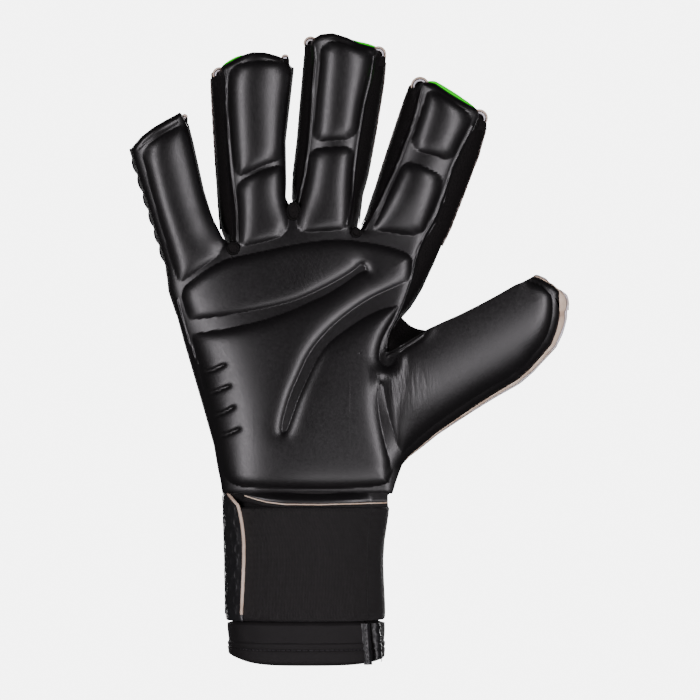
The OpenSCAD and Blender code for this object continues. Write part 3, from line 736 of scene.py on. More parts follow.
# ------------------------------------------------------------------ front skins
def left_edge(i, z):
    if i == 0:
        return FL[0](z)
    return np.where(z < CROTCH[i - 1], SPLIT[i - 1](z), FL[i](z))


def right_edge(i, z):
    if i == 3:
        lo = HINGE[0] - 10.5 / ED[0] - (z - HINGE[1]) * 0.1481
        return np.where(z < 134, lo, FR[3](z))
    return np.where(z < CROTCH[i], SPLIT[i](z), FR[i](z))


def strip(i, z0, z1, lo, hi, fn, sign, n, tip=False, tops=None):
    """A strip of skin between two edges, from height z0 to z1 or to the fingertip's outline."""
    s = np.linspace(0, 1, n)
    zz = rows(z0, z1)
    r = (zz - z0) / (z1 - z0)
    Z = np.broadcast_to(zz[:, None], (len(zz), n)).copy()
    if tip:
        for _ in range(3):
            X = lo(i, Z) * (1 - s[None]) + hi(i, Z) * s[None]
            u = (X - EL[i](Z)) / (ER[i](Z) - EL[i](Z))
            top = tops(np.clip(u, 0, 1))
            w = r[:, None]
            Z = z0 + (top[-1:, :] - z0) * w if False else z0 + (tops(np.clip((X[-1:] - EL[i](Z[-1:])) / (ER[i](Z[-1:]) - EL[i](Z[-1:])), 0, 1)) - z0) * w
    X = lo(i, Z) * (1 - s[None]) + hi(i, Z) * s[None]
    P, N = skin(X, Z, fn, sign)
    return P, N


def tip_round(P, N, depth, sign, last=2.2):
    """Turns the last rows of a fingertip in towards its closing seam."""
    n = P.shape[0]
    top = P[-1:, :, 2]
    d = top - P[..., 2]
    k = np.clip(1 - d / last, 0, 1)
    P[..., 1] -= sign * depth * (1 - np.sqrt(np.clip(1 - k * k, 0, 1)))
    gu, gv = np.gradient(P, axis=0), np.gradient(P, axis=1)
    M = np.cross(gu, gv)
    M *= np.where(M[..., 1:2] * sign < 0, -1, 1)
    M /= np.maximum(np.linalg.norm(M, axis=-1, keepdims=True), 1e-9)
    w = smooth((last + 0.8 - d) / 0.8)[..., None]
    N = N / np.linalg.norm(N, axis=-1, keepdims=True) * (1 - w) + M * w
    return P, N


NS = 46
front_tops = {}
for i in range(4):
    nodes = []
    if i == 0:
        P, N = strip(0, 73.4, 226, left_edge, right_edge, y_front, -1, NS, True, TIP[0])
        P, N = tip_round(P, N, 2.2, -1)
        o = grid("pinky_palm_skin", P, palm.m, N, flip=False)
        root_blend(o)
        done(o, "pinky_pad", pad=0.6)
        front_tops[0] = P[-1]
        continue
    top = CUTZ[i]
    if i < 3:
        P, N = strip(i, 73.4, top, left_edge, right_edge, y_front, -1, NS)
        o = grid(FINGER[i] + "_palm_skin", P, palm.m, N)
        nodes = ["palm_shell"] if i == 2 else []
    else:
        P, N = strip(3, 134, top, left_edge, right_edge, y_front, -1, NS)
        Q, M = strip(3, 73.4, 134, left_edge, right_edge, y_front, -1, NS)
        Q[..., 0] = np.minimum(Q[..., 0], HINGE[0] - 10.5 / ED[0] - (Q[..., 2] - HINGE[1]) * 0.1481)
        o = grid("index_palm_skin", P, palm.m, N, more=[(Q, M, None)])
    root_blend(o)
    done(o, FINGER[i] + "_lower_pad", *nodes, pad=0.6)
    P, N = strip(i, top, [0, 258, 266, 242][i], left_edge, right_edge, y_front, -1, NS, True, TIP[i])
    P, N = tip_round(P, N, 2.2, -1)
    o = grid(FINGER[i] + "_tip_skin", P, palm.m, N)
    tip_blend(o)
    done(o, FINGER[i] + "_tip_pad", pad=0.6)
    front_tops[i] = P[-1]


# ------------------------------------------------------------------ backhand
def back_left(i, z):
    if i == 0:
        base = np.where(z < 150, HL(z) + 0.6, EL[0](z) + 0.6)
        return base
    return np.where(z < CROTCH[i - 1], SPLIT[i - 1](z), EL[i](z) + (-0.2 if i == 1 else 0.2))


def back_right(i, z):
    if i == 3:
        return np.where(z < 134, HINGE[0] - 10.5 / ED[0] - (z - HINGE[1]) * 0.1481, np.where(z < 153, np.interp(z, [134, 149, 153], [34.6, 40.8, 44.6]), ER[3](z) - 0.35))
    return np.where(z < CROTCH[i], SPLIT[i](z), ER[i](z) - 0.3)


back_tops = {}
for i in range(4):
    if i == 0:
        P, N = strip(0, 73.4, 226, back_left, back_right, y_back, 1, NS, True, TIP[0])
        P, N = tip_round(P, N, 3.0, 1)
        o = grid("pinky_back_skin", P, back.m, N, flip=True)
        root_blend(o)
        done(o, "pinky_backhand", pad=0.5)
        back_tops[0] = P[-1]
        continue
    top = CUTZ[i]
    if i < 3:
        P, N = strip(i, 73.4, top, back_left, back_right, y_back, 1, NS)
        o = grid(FINGER[i] + "_back_skin", P, back.m, N, flip=True)
    else:
        P, N = strip(3, 134, top, back_left, back_right, y_back, 1, NS)
        Q, M = strip(3, 73.4, 134, back_left, back_right, y_back, 1, NS)
        o = grid("index_back_skin", P, back.m, N, flip=True, more=[(Q, M, None)])
    root_blend(o)
    done(o, FINGER[i] + "_lower_backhand", *(["back_shell"] if i == 2 else []), pad=0.5)
    P, N = strip(i, top, [0, 258, 266, 242][i], back_left, back_right, y_back, 1, NS, True, TIP[i])
    P, N = tip_round(P, N, 3.0, 1)
    o = grid(FINGER[i] + "_tip_back_skin", P, back.m, N, flip=True)
    tip_blend(o)
    done(o, FINGER[i] + "_tip_backhand", pad=0.5)
    back_tops[i] = P[-1]


# ------------------------------------------------------------------ gussets
def gusset(i, left, z0, z1, tip=False):
    q = np.linspace(0, 1, 15)
    fe = left_edge if left else right_edge
    be = back_left if left else back_right
    zf = rows(z0, z1)
    r = (zf - z0) / (z1 - z0)
    if tip:
        t = front_tops[i][0 if left else -1]
        s = back_tops[i][0 if left else -1]
        zf = z0 + (t[2] - z0) * r
        zb = z0 + (s[2] - z0) * r
    else:
        zb = zf
    f = np.stack([fe(i, zf), np.zeros(len(zf)), zf], -1)
    b = np.stack([be(i, zb), np.zeros(len(zb)), zb], -1)
    f[:, 1] = y_front(f[:, 0], f[:, 2])
    b[:, 1] = y_back(b[:, 0], b[:, 2])
    if tip:
        f[-1] = t
        b[-1] = s
        for k in (2, 3, 4, 5):
            w = (1 - np.sqrt(max(0, 1 - max(0, 1 - (f[-1, 2] - f[-k, 2]) / 2.2) ** 2)))
            f[-k, 1] += 2.2 * w
            b[-k, 1] -= 3.0 * w
    P = f[:, None] * (1 - q[None, :, None]) + b[:, None] * q[None, :, None]
    c = -1 if left else 1
    # the fabric leaves the front seam sideways and bellies out a little
    wide = np.abs(b[:, 0] - f[:, 0])[:, None]
    zt = np.minimum(zf, zb)[:, None]
    lim = {True: [73, CROTCH[0], CROTCH[1], CROTCH[2]], False: [CROTCH[0], CROTCH[1], CROTCH[2], 140]}[left][i]
    open_ = smooth((zt - lim) / 12)
    ease = np.sin(q[None] * PI / 2) ** 0.75
    P[..., 0] = f[:, None, 0] + (b[:, None, 0] - f[:, None, 0]) * (q[None] * (1 - open_) + ease * open_) + c * 0.7 * np.sin(PI * q[None]) * open_
    uv = np.stack([np.broadcast_to(q[None] * 24, P.shape[:2]), P[..., 2]], -1)
    return P, None, uv, f, b


def seam(name, path, r, mat, n=8, dashed=False):
    g = tube(path, r, n)
    return grid(name, g[0], mat, uv=g[2])


for i in range(4):
    cut_at = CUTZ[i]
    lows = [73.4 if i == 0 else CROTCH[i - 1] - 7, 149 if i == 3 else CROTCH[i] - 7]
    if i == 0:
        a = gusset(0, True, lows[0], 226, True)
        b = gusset(0, False, lows[1], 226, True)
        o = grid("pinky_mesh_sides", a[0], mesh.m, uv=a[2], more=[(b[0][:, ::-1], None, b[2])], flip=True)
        root_blend(o)
        done(o, "pinky_gussets", "pinky_side_wall")
        continue
    a = gusset(i, True, lows[0], cut_at)
    b = gusset(i, False, lows[1], cut_at)
    o = grid(FINGER[i] + "_mesh_sides", a[0], mesh.m, uv=a[2], more=[(b[0][:, ::-1], None, b[2])], flip=True)
    root_blend(o)
    done(o, FINGER[i] + "_lower_gussets", *{1: ["finger_webs"], 3: ["index_side_wall"]}.get(i, []))
    a = gusset(i, True, cut_at, 250, True)
    b = gusset(i, False, cut_at, 250, True)
    o = grid(FINGER[i] + "_tip_mesh_sides", a[0], mesh.m, uv=a[2], more=[(b[0][:, ::-1], None, b[2])], flip=True)
    tip_blend(o)
    done(o, FINGER[i] + "_tip_gussets")

# ------------------------------------------------------------------ fingertip closings
for i in range(4):
    f, b = front_tops[i], back_tops[i]
    q = np.linspace(0, 1, 13)
    P = f[None] * (1 - q[:, None, None]) + b[None] * q[:, None, None]
    P[..., 2] += 0.25 * np.sin(PI * q[:, None]) * np.sin(PI * np.linspace(0, 1, P.shape[1]))[None] ** 0.5
    o = grid(FINGER[i] + "_tip_closing", P, seam_black.m, flip=True)
    if i == 0:
        root_blend(o)
        done(o)
    else:
        tip_blend(o)
        done(o)


def arc(c, r, a0, a1, y, wr, rad, squash=1.0):
    g = np.radians(np.linspace(a0, a1, 22))
    return [(c[0] + r * math.cos(t), y + wr * math.sin(t) * 0, c[1] + r * squash * math.sin(t)) for t in g]


# Layered cut edges over the corners of the fingertips
ARCS = [
    (1, (-37.2, 253.4), 2.9, 200, 22), (1, (-8.9, 259.8), 1.9, 150, 40),
    (2, (2.0, 266.6), 2.9, 195, 15), (2, (31.0, 262.0), 3.3, 150, -20),
    (3, (49.0, 248.2), 3.9, 190, 5), (3, (74.3, 234.6), 3.7, 140, -25),
    (0, (-52.3, 234.6), 1.6, 120, 20)]
by_finger = {0: [], 1: [], 2: [], 3: []}
for i, c, r, a0, a1 in ARCS:
    by_finger[i].append((c, r, a0, a1))
for i in range(4):
    outer, inner, dark = [], [], []
    caps = []
    for c, r, a0, a1 in by_finger[i]:
        yf = float(y_front(np.array([c[0]]), np.array([c[1] - 1.5]))[0]) + 0.6
        k = np.linspace(-1, 1, 18)
        q = np.linspace(0, 1, 12)
        cx = c[0] + 0.92 * r * k
        ct = c[1] + 0.92 * r * np.sqrt(np.clip(1 - k * k, 0, 1))
        CP = np.stack([np.broadcast_to(cx, (12, 18)), yf + 1.1 + 1.2 * (k[None] ** 2) + 2.2 * (q[:, None] ** 6), c[1] - 5 + (ct[None] - c[1] + 5) * q[:, None]], -1)
        caps.append((CP, None, None))
        for group, rr, wr, lift in ((outer, r - 0.22, 0.5, 0.25), (dark, r - 0.74, 0.26, -0.1), (inner, r - 1.2, 0.46, 0.0), ):
            if rr < 0.4:
                continue
            g = np.radians(np.linspace(a0, a1, 26))
            path = np.stack([c[0] + rr * np.cos(g), yf + lift + 0.5 * (1 - np.sin(g)), c[1] + rr * np.sin(g)], -1)
            end = np.sin(np.linspace(0.12, PI - 0.12, 26)) ** 0.35
            t = tube(path, wr * end, 8, flat=1.6)
            group.append(t)
    if caps:
        o = grid("%s_corner_mesh" % FINGER[i], caps[0][0], mesh.m, more=caps[1:])
        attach(o, "pinky" if i == 0 else FINGER[i] + "_tip")
        done(o)
    for tag, group, mat in (("cut_outer", outer, beige.m), ("cut_line", dark, thread.m), ("cut_inner", inner, white.m)):
        if not group:
            continue
        o = grid("%s_%s" % (FINGER[i], tag), group[0][0], mat, uv=group[0][2], more=group[1:])
        if i == 0:
            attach(o, "pinky")
        else:
            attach(o, FINGER[i] + "_tip")
        done(o, *([FINGER[i] + ("_tip_edge")] if tag == "cut_outer" else []))

# Green panels on the back of the fingertips
for i in (1, 2, 3):
    u0, u1, rise = {1: (0.10, 0.42, 1.4), 2: (0.52, 0.92, 1.4), 3: (0.17, 0.86, 2.4)}[i]
    us = np.linspace(0.06, 0.94, 40)
    mat_rows = []
    for k, dz in enumerate(np.linspace(-16, 0, 24)):
        t = TIP[i](us)
        z = t + dz
        x = EL[i](z) + us * (ER[i](z) - EL[i](z))
        kk_ = np.clip(1 + dz / 2.2, 0, 1)
        y = y_back(x, z) - 3.0 * (1 - math.sqrt(1 - kk_ * kk_)) + 0.45
        mat_rows.append(np.stack([x, y, z], -1))
    for k in range(1, 6):
        f_ = k / 5
        bulge = rise * np.clip(np.sin(PI * np.clip((us - u0) / (u1 - u0), 0, 1)), 0, 1) ** 0.6
        mat_rows.append(np.stack([x, y - 2.2 * f_ * f_, TIP[i](us) + f_ * bulge], -1))
    P = np.array(mat_rows)
    o = grid(FINGER[i] + "_green_panel", P, green.m, flip=True)
    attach(o, FINGER[i] + "_tip")
    done(o, FINGER[i] + "_tip_accent")


# Worn white edge of the back panels along the fingers
def edge_line(name, i, left, z0, z1, r, mat, body, off=0.0):
    z = rows(z0, z1, 0.8)
    be = back_left if left else back_right
    x = be(i, z) + (-1 if left else 1) * (0.35 + off)
    y = y_back(be(i, z), z) - 1.6
    k = np.sin(np.linspace(0.15, PI - 0.15, len(z))) ** 0.25
    wob = 1 + 0.18 * np.sin(z * 2.3) * np.sin(z * 0.9)
    g = tube(np.stack([x, y, z], -1), r * k * wob, 8)
    return grid(name, g[0], mat, uv=g[2])


for name, i, left, z0, z1, r, mat in (
        ("ring_outer_edge_upper", 1, True, 206, 252, 0.62, worn.m), ("middle_outer_edge_upper", 2, False, 210, 259, 0.42, worn.m),
        ("index_inner_edge_upper", 3, True, 206, 246, 0.45, worn.m), ("index_outer_edge_upper", 3, False, 206, 231, 0.42, worn.m),
        ("middle_inner_edge_upper", 2, True, 210, 262, 0.3, worn.m)):
    o = edge_line(name, i, left, z0, z1, r, mat, None)
    tip_blend(o)
    done(o)
for name, i, left, z0, z1, r, mat in (
        ("ring_outer_edge_lower", 1, True, 187, 206, 0.5, worn.m), ("index_outer_edge_lower", 3, False, 180, 206, 0.62, worn.m),
        ("middle_outer_edge_lower", 2, False, 190, 210, 0.34, worn.m), ("index_inner_edge_lower", 3, True, 189, 206, 0.36, worn.m)):
    o = edge_line(name, i, left, z0, z1, r, mat, None)
    root_blend(o)
    done(o)

# Round knots where two seams meet at the crotches
KNOTS = [(0, (-31.3, 178.6), 2.3, 2.4, 1), (1, (-5.3, 194.6), 2.7, 3.6, 2), (2, (21.6, 185.4), 1.8, 1.7, 3)]
for k, c, rx, rz, nb in KNOTS:
    g = np.linspace(0, 2 * PI, 40)
    y0 = float(y_front(np.array([c[0]]), np.array([c[1] - 3]))[0]) - 0.15
    path = np.stack([c[0] + rx * np.cos(g), np.full(40, y0) - 0.2 * np.sin(2 * g), c[1] + rz * np.sin(g)], -1)[:-1]
    wob = 1 + 0.22 * np.sin(np.arange(39) * 2.6)
    t = tube(path, 0.6 * wob, 9, closed=True)
    o = grid("crotch_knot_%d" % k, t[0], seam_black.m, uv=t[2])
    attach(o, "hand")
    done(o)
    R, A = np.meshgrid(np.linspace(0, 1, 8), g, indexing="ij")
    P = np.stack([c[0] + R * rx * np.cos(A), y0 - 0.25 + 0.1 * (1 - R * R), c[1] + R * rz * np.sin(A)], -1)
    o = grid("crotch_mesh_%d" % k, P, mesh.m)
    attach(o, "hand")
    done(o)

# Scalloped ribs along the little finger's outer edge
scal = []
for k in range(9):
    z = 214.6 - 7.6 * k
    if z < 148:
        break
    x = float(back_left(0, np.array([z]))[0])
    g = np.linspace(0, 1, 30)
    w = np.sin(PI * g) ** 0.5
    big = 1.0 if k < 6 else 1.0 - 0.25 * (k - 5)
    slope = 0.3
    zz = z + (g - 0.5) * 8.4
    xx = np.array([float(v) for v in back_left(0, zz)]) - 0.2
    yy = y_back(np.array([float(v) for v in back_left(0, zz)]), zz)
    path = np.stack([xx + 0.95 - 0.85 * w * big, yy - 3.4, zz], -1)
    t = tube(path, 1.3 * np.maximum(w, 0.3) * big, 18, flat=2.6)
    scal.append(t)
o = grid("pinky_outer_ribs", scal[0][0], back.m, uv=scal[0][2], more=scal[1:])
root_blend(o)
done(o)

# ------------------------------------------------------------------ thumb
B_IN = np.array([(27.2 + 5.7, 73.4), (37.0, 73.4), (38.7, 79), (41.2, 85.8), (44.1, 89.4), (49.4, 93.8), (55.5, 99), (62.5, 103.9), (71.3, 110), (80.1, 115.7), (91.1, 122.3), (96.6, 127.2), (100.8, 132), (105.2, 137.3), (107.4, 143), (108.7, 149.1), (108.6, 155.3), (108.4, 160.1)])
T_IN = np.array([(HINGE[0] - 10.5 / ED[0] - (134.0 - HINGE[1]) * 0.1481, 134.0), (35, 134), (38.4, 135.5), (46.9, 140.6), (52.5, 143.8), (58.5, 146.6), (66, 149.9), (74, 153.9), (82, 158.2), (90, 162.8), (93.2, 164.0), (97.7, 166.4)])


def along(pts, t):
    p = np.asarray(pts, float)
    d = np.concatenate([[0], np.cumsum(np.linalg.norm(np.diff(p, axis=0), axis=1))])
    d /= d[-1]
    return np.stack([np.interp(t, d, p[:, 0]), np.interp(t, d, p[:, 1])], -1)


# share of each edge at the left border, the bend line and the tip
def b_at(a):
    return along(np.array([(32.9 - 0.0, 73.4)] + B_IN[1:].tolist()), a)


B_EDGE = [(HINGE[0] - 10.5 / ED[0] - (73.4 - HINGE[1]) * 0.1481, 73.4)] + [tuple(p) for p in B_IN[1:-1]]
T_EDGE = [tuple(p) for p in T_IN]


def split_at(pts, x):
    p = np.array(pts)
    k = int(np.argmin(np.hypot(p[:, 0] - x[0], p[:, 1] - x[1])))
    return p[:k + 1], p[k:]


B0, B1 = split_at(B_EDGE, (41.2, 85.8))
T0, T1 = split_at(T_EDGE, (35, 134))
TBX = table([[0, 41.7], [0.22, 56], [0.5, 72], [0.78, 90.5], [1, 102]])
AH = 0.16


def edge_at(lo, hi, a):
    a = np.atleast_1d(a)
    r = np.where(a[:, None] < AH, along(lo, np.clip(a / AH, 0, 1)), along(hi, np.clip((a - AH) / (1 - AH), 0, 1)))
    return r


def thumb_surface(a, v, sign):
    """x and z of the thumb's face at shares a along and v across, with the shares spread over the same grid."""
    b = edge_at(B0, B1, a)
    t = edge_at(T0, T1, a)
    V = v[None, :]
    X = b[:, None, 0] * (1 - V) + t[:, None, 0] * V
    Z = b[:, None, 1] * (1 - V) + t[:, None, 1] * V
    A = np.broadcast_to(a[:, None], X.shape)
    return X, Z, A, np.broadcast_to(V, X.shape)


def thumb_y(x, z, sign):
    """Height field of the thumb and of the part of the hand beside its bend line."""
    e = thumb_e(x, z)
    t = np.clip(e / 68, 0, 1)
    # across: distance from the thumb's middle line
    ax, az = 39.0 + t * 62.0, 110.5 + t * 37.0
    nx, nz = -0.512, 0.859
    c = (x - ax) * nx + (z - az) * nz
    half = 25 - 5.5 * t
    h = 20 + (13.5 - 20) * t ** 0.8
    mid = -4 - 4 * t
    if sign < 0:        # the thumb's face is turned a little down
        v = np.clip(np.abs(c - 2.5) / half, 0, 1.3)
        ed = 1 - 0.38 * v ** 2
        mid = mid - 0.25 * c
    else:
        v = np.clip(np.abs(c - 1.5 * (1 - t)) / half, 0, 1.25)
        ed = 1 - 0.34 * v ** 2.4
    return mid + sign * (h - (H if sign < 0 else 0)) * ed


def y_thumb_front(x, z):
    x, z = np.broadcast_arrays(np.asarray(x, float), np.asarray(z, float))
    sh = x.shape
    x, z = x.ravel(), z.ravel()
    e = thumb_e(x, z)
    w = smooth((e + 9.5) / 19)
    corner = smooth((z - 122) / 12) * smooth((6 - e) / 8)
    w = w * (1 - corner)
    r = relief(x, z)
    y = base_front(x, z) * (1 - w) + thumb_y(x, z, -1) * w - r
    return y.reshape(sh)


def y_thumb_back(x, z):
    x, z = np.broadcast_arrays(np.asarray(x, float), np.asarray(z, float))
    e = thumb_e(x, z)
    w = smooth((e + 9.5) / 19)
    return y_back(x, z) * (1 - w) + thumb_y(x, z, 1) * w


NT = 90
NV = 84
a_s = np.concatenate([np.linspace(0, AH, 22), np.linspace(AH, 1, NT)[1:]])
v_s = np.linspace(0, 1, NV)
X, Z, A, V = thumb_surface(a_s, v_s, -1)
P, N = skin(X, Z, y_thumb_front, -1)
# the rounded end of the thumb, between the last row and the tip's outline
tip_b, tip_t = np.array([P[-1, 0, 0], P[-1, 0, 2]]), np.array([P[-1, -1, 0], P[-1, -1, 2]])
CAP = np.array([tip_b, (108.55, 151.5), (108.5, 155.3), (108.3, 160.2), (105.6, 162.7), (102.0, 164.7), (99.6, 165.9), tip_t])
cap = along(CAP, v_s)
q = np.linspace(0, 1, 14)[1:]
CX = P[-1:, :, 0] * (1 - q[:, None]) + cap[None, :, 0] * q[:, None]
CZ = P[-1:, :, 2] * (1 - q[:, None]) + cap[None, :, 1] * q[:, None]
X2 = np.concatenate([P[..., 0], CX])
Z2 = np.concatenate([P[..., 2], CZ])
P, N = skin(X2, Z2, y_thumb_front, -1)
thumb_front = P
o = grid("thumb_skin", P, palm.m, N, flip=True)
thumb_blend(o)
done(o, "thumb_pad", pad=0.65)

# outline of the thumb from the wrist round the tip to the crotch
def outline(P):
    return np.concatenate([P[:, 0], P[-1, 1:-1], P[::-1, -1]])


# widths of the raw edge outside the skin
OUT = outline(P)
dd = np.concatenate([[0], np.cumsum(np.linalg.norm(np.diff(OUT, axis=0), axis=1))])
nb = P.shape[0]
s_b = dd[:nb]
dir2 = np.gradient(OUT[:, [0, 2]], axis=0)
dir2 /= np.maximum(np.linalg.norm(dir2, axis=1, keepdims=True), 1e-9)
nrm = np.stack([dir2[:, 1], -dir2[:, 0]], -1)      # outward
# smooth the outward direction
for _ in range(12):
    nrm[1:-1] = (nrm[:-2] + 2 * nrm[1:-1] + nrm[2:]) / 4
nrm /= np.maximum(np.linalg.norm(nrm, axis=1, keepdims=True), 1e-9)
xo = OUT[:, 0]
bottom = np.arange(len(OUT)) < nb
end_row = (np.arange(len(OUT)) >= nb) & (np.arange(len(OUT)) < nb + NV - 2)
width = np.where(bottom, np.interp(xo, [41, 46, 52, 62, 71, 80, 90, 100, 105, 109], [0.0, 0.5, 0.8, 1.0, 1.3, 1.5, 1.8, 1.9, 2.4, 3.4]), 0.0)
zz = OUT[:, 2]
width = np.where(end_row, np.interp(zz, [128, 150, 156, 158.6, 160.4, 163.6, 164.4, 166], [4.2, 4.1, 4.2, 3.6, 0.5, 0.4, 1.2, 1.0]), width)
for _ in range(6):
    width[1:-1] = (width[:-2] + 2 * width[1:-1] + width[2:]) / 4
EDGE = OUT.copy()
EDGE[:, 0] += nrm[:, 0] * width
EDGE[:, 2] += nrm[:, 1] * width
EDGE[:, 1] += 1.6
sel = np.where(width > 0.12)[0]
k0, k1 = sel[0], sel[-1] + 1
# three layers side by side, each a soft roll
LAY = [("thumb_cut_edge", 0.0, 0.66, cut.m), ("thumb_cut_line", 0.65, 0.73, thread.m), ("thumb_cut_outer", 0.72, 1.0, white.m)]
for nm, w0, w1, mt in LAY:
    g = np.linspace(0, 1, 9)
    I, Oe = OUT[k0:k1], EDGE[k0:k1]
    wave = 0.08 * np.sin(dd[k0:k1] * 0.55) * np.sin(dd[k0:k1] * 0.21)
    a0 = np.clip(w0 + (wave if w0 > 0 else 0), 0, 1)[:, None] if w0 > 0 else np.zeros((k1 - k0, 1))
    a1 = np.clip(w1 + (wave if w1 < 1 else 0), 0, 1)[:, None] if w1 < 1 else np.ones((k1 - k0, 1))
    f = a0 + (a1 - a0) * g[None]
    Pn = I[:, None] * (1 - f[..., None]) + Oe[:, None] * f[..., None]
    Pn[..., 1] -= (0.35 if mt is not thread.m else 0.05) * np.sin(PI * g)[None]
    uvn = np.stack([np.broadcast_to(dd[k0:k1][:, None], f.shape), f * 4], -1)
    oo = grid(nm, Pn, mt, uv=uvn, flip=True)
    thumb_blend(oo)
    done(oo, *(["thumb_edge_trim"] if w0 == 0 else ["thumb_tip_edge"] if w1 == 1 else []))
# a dark cap at the very corner
t = tube([(107.4, -9.4, 160.4), (109.6, -9.0, 158.6), (111.8, -8.6, 156.2), (112.7, -8.4, 154.7), (112.0, -8.4, 153.4)], [0.3, 0.35, 0.5, 0.5, 0.3], 8)
o = grid("thumb_corner_cap", t[0], palm.m, uv=t[2])
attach(o, "thumb")
done(o)

# back of the thumb
bx = EDGE[:nb]
XB = np.zeros((nb, NV))
ZB = np.zeros((nb, NV))
rim_b = EDGE[:nb, [0, 2]]
rim_t = OUT[::-1][:nb, [0, 2]]
XB = rim_b[:, None, 0] * (1 - v_s) + rim_t[:, None, 0] * v_s
ZB = rim_b[:, None, 1] * (1 - v_s) + rim_t[:, None, 1] * v_s
EB = outline(np.stack([XB, XB * 0, ZB], -1))
endc = EDGE[nb:nb + NV - 2][:, [0, 2]]
endc = np.concatenate([rim_b[-1:], endc, rim_t[-1:]])
# bulge the last rows out to the edge's outline
kb = int(nb * 0.72)
tb = (np.linspace(0, 1, nb - kb) ** 0.85)[:, None]
for arr, end_, lo_, hi_ in ((XB, endc[:, 0], rim_b[:, 0], rim_t[:, 0]), (ZB, endc[:, 1], rim_b[:, 1], rim_t[:, 1])):
    fan = arr[kb][None] * (1 - tb) + end_[None] * tb
    fan = fan + (lo_[kb:, None] - fan[:, :1]) * (1 - v_s) ** 3 + (hi_[kb:, None] - fan[:, -1:]) * v_s ** 3
    arr[kb:] = fan
XB = np.minimum(XB, 112.8)
PB, NB = skin(XB, ZB, y_thumb_back, 1)
rim = np.minimum.reduce([np.broadcast_to(v_s[None] * 44, XB.shape), np.broadcast_to((1 - v_s[None]) * 44, XB.shape), np.broadcast_to(((1 - a_s[:, None] if len(a_s) == nb else np.linspace(1, 0, nb)[:, None]) * 70), XB.shape)])
oo = grid("thumb_back_skin", PB, back.m, NB)
thumb_blend(oo)
done(oo, "thumb_backhand", pad=0.5)

# mesh round the thumb, from the front outline to the back outline
F = np.concatenate([EDGE[:nb], EDGE[nb:nb + NV - 2], EDGE[nb + NV - 2:]])
BK = outline(PB)
q = np.linspace(0, 1, 17)
G = F[:, None] * (1 - q[None, :, None]) + BK[:, None] * q[None, :, None]
bul = 0.3 * np.sin(PI * q)[None]
G[..., 0] += nrm[:, None, 0] * bul
G[..., 2] += nrm[:, None, 1] * bul
kk = len(F)
uvg = np.stack([np.broadcast_to(dd[:, None], G.shape[:2]), np.broadcast_to(q[None] * 26, G.shape[:2])], -1)
# the short stretch over the hand at the crotch is left to the web
lastk = kk - 22
oo = grid("thumb_mesh_sides", G[:lastk], mesh.m, uv=uvg[:lastk])
thumb_blend(oo)
done(oo, "thumb_gussets", "wrist_side_wall")

# web between index side and thumb
mI = np.array([(35.0, 134.0), (35.3, 140.6), (38.0, 145.0), (40.7, 149.4)])
mT = np.array([(35.0, 134.0), (38.4, 135.5), (46.9, 140.6), (51.5, 143.3)])
r = np.linspace(0, 1, 30)
m = np.linspace(0, 1, 30)
li, lt = along(mI, r), along(mT, r)
yi = y_front(li[:, 0], li[:, 1]) + 0.1
yt = y_thumb_front(lt[:, 0], lt[:, 1]) + 0.1
W = np.zeros((30, 30, 3))
for a in range(30):
    W[a, :, 0] = li[a, 0] * (1 - m) + lt[a, 0] * m
    W[a, :, 2] = li[a, 1] * (1 - m) + lt[a, 1] * m - 1.6 * r[a] * np.sin(PI * m)
    W[a, :, 1] = yi[a] * (1 - m) + yt[a] * m + 8.5 * np.sin(PI * m) ** 0.75 * r[a] ** 0.7
top = W[-1]
backs = top.copy()
backs[:, 0] = 40.6 * (1 - m) + 51.3 * m
backs[:, 2] = 149.0 * (1 - m) + 143.6 * m - 1.2 * np.sin(PI * m)
backs[:, 1] = y_back(np.full(30, 40.0), np.full(30, 149.0)) * (1 - m) + y_thumb_back(np.full(30, 51.3), np.full(30, 143.6)) * m
q = np.linspace(0, 1, 16)[1:, None, None]
W2 = top[None] * (1 - q) + backs[None] * q
W2[..., 2] -= 1.2 * np.sin(PI * q[..., 0])
# the web's rear half meets the backhand
bI = np.linspace(0, 1, 20)[1:, None, None]
apex = np.array([35.0, float(y_back(np.array([35.0]), np.array([134.0]))[0]), 134.0])
W3 = backs[None] * (1 - bI) + apex[None, None] * bI
WW = np.concatenate([W, W2, W3])
oo = grid("thumb_web", WW, mesh.m, flip=False)
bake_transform(oo)
done(oo)

# ------------------------------------------------------------------ inner lining
zz = rows(74, 158, 3)
g = np.linspace(0, 2 * PI, 60)
LI = []
for z in zz:
    l, rr = float(HL(z)) + 6.5, float(HR(z)) - (7 if z > 84 else 6.5)
    c, a = (l + rr) / 2, (rr - l) / 2
    d = float(HAND_D(z))
    x = c + a * np.cos(g)
    y = np.where(np.sin(g) > 0, 1, -1) * np.abs(np.sin(g)) ** 0.7 * (d - 8.5) * (1 - 0.25 * np.abs(np.cos(g)) ** 2)
    LI.append(np.stack([x, y, np.full(60, z)], -1))
LI = np.array(LI)
uvl = np.stack([np.broadcast_to(g[None] * 30, LI.shape[:2]), LI[..., 2]], -1)
oo = grid("hand_lining", LI, lining.m, uv=uvl, flip=True)
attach(oo, "hand")
done(oo, "palm_lining", "back_lining")

# ------------------------------------------------------------------ cuff
CL = table([[0, -33], [10, -33.7], [20, -34.2], [45, -34.6], [72, -35.4], [76, -35.6]])
CR = table([[0, 33.6], [22, 34.2], [45, 33.6], [53, 34], [66, 36], [72, 37], [76, 37.4]])
CD = 48.0
SLIT = -31.5


def slit_c(z):
    return np.interp(z, [0, 18, 30, 80], [-31.0, -37.0, -38.0, -38.0])


SZ0, SZ1 = 19.0, 67.6


def spow(v, e):
    return np.sign(v) * np.abs(v) ** e


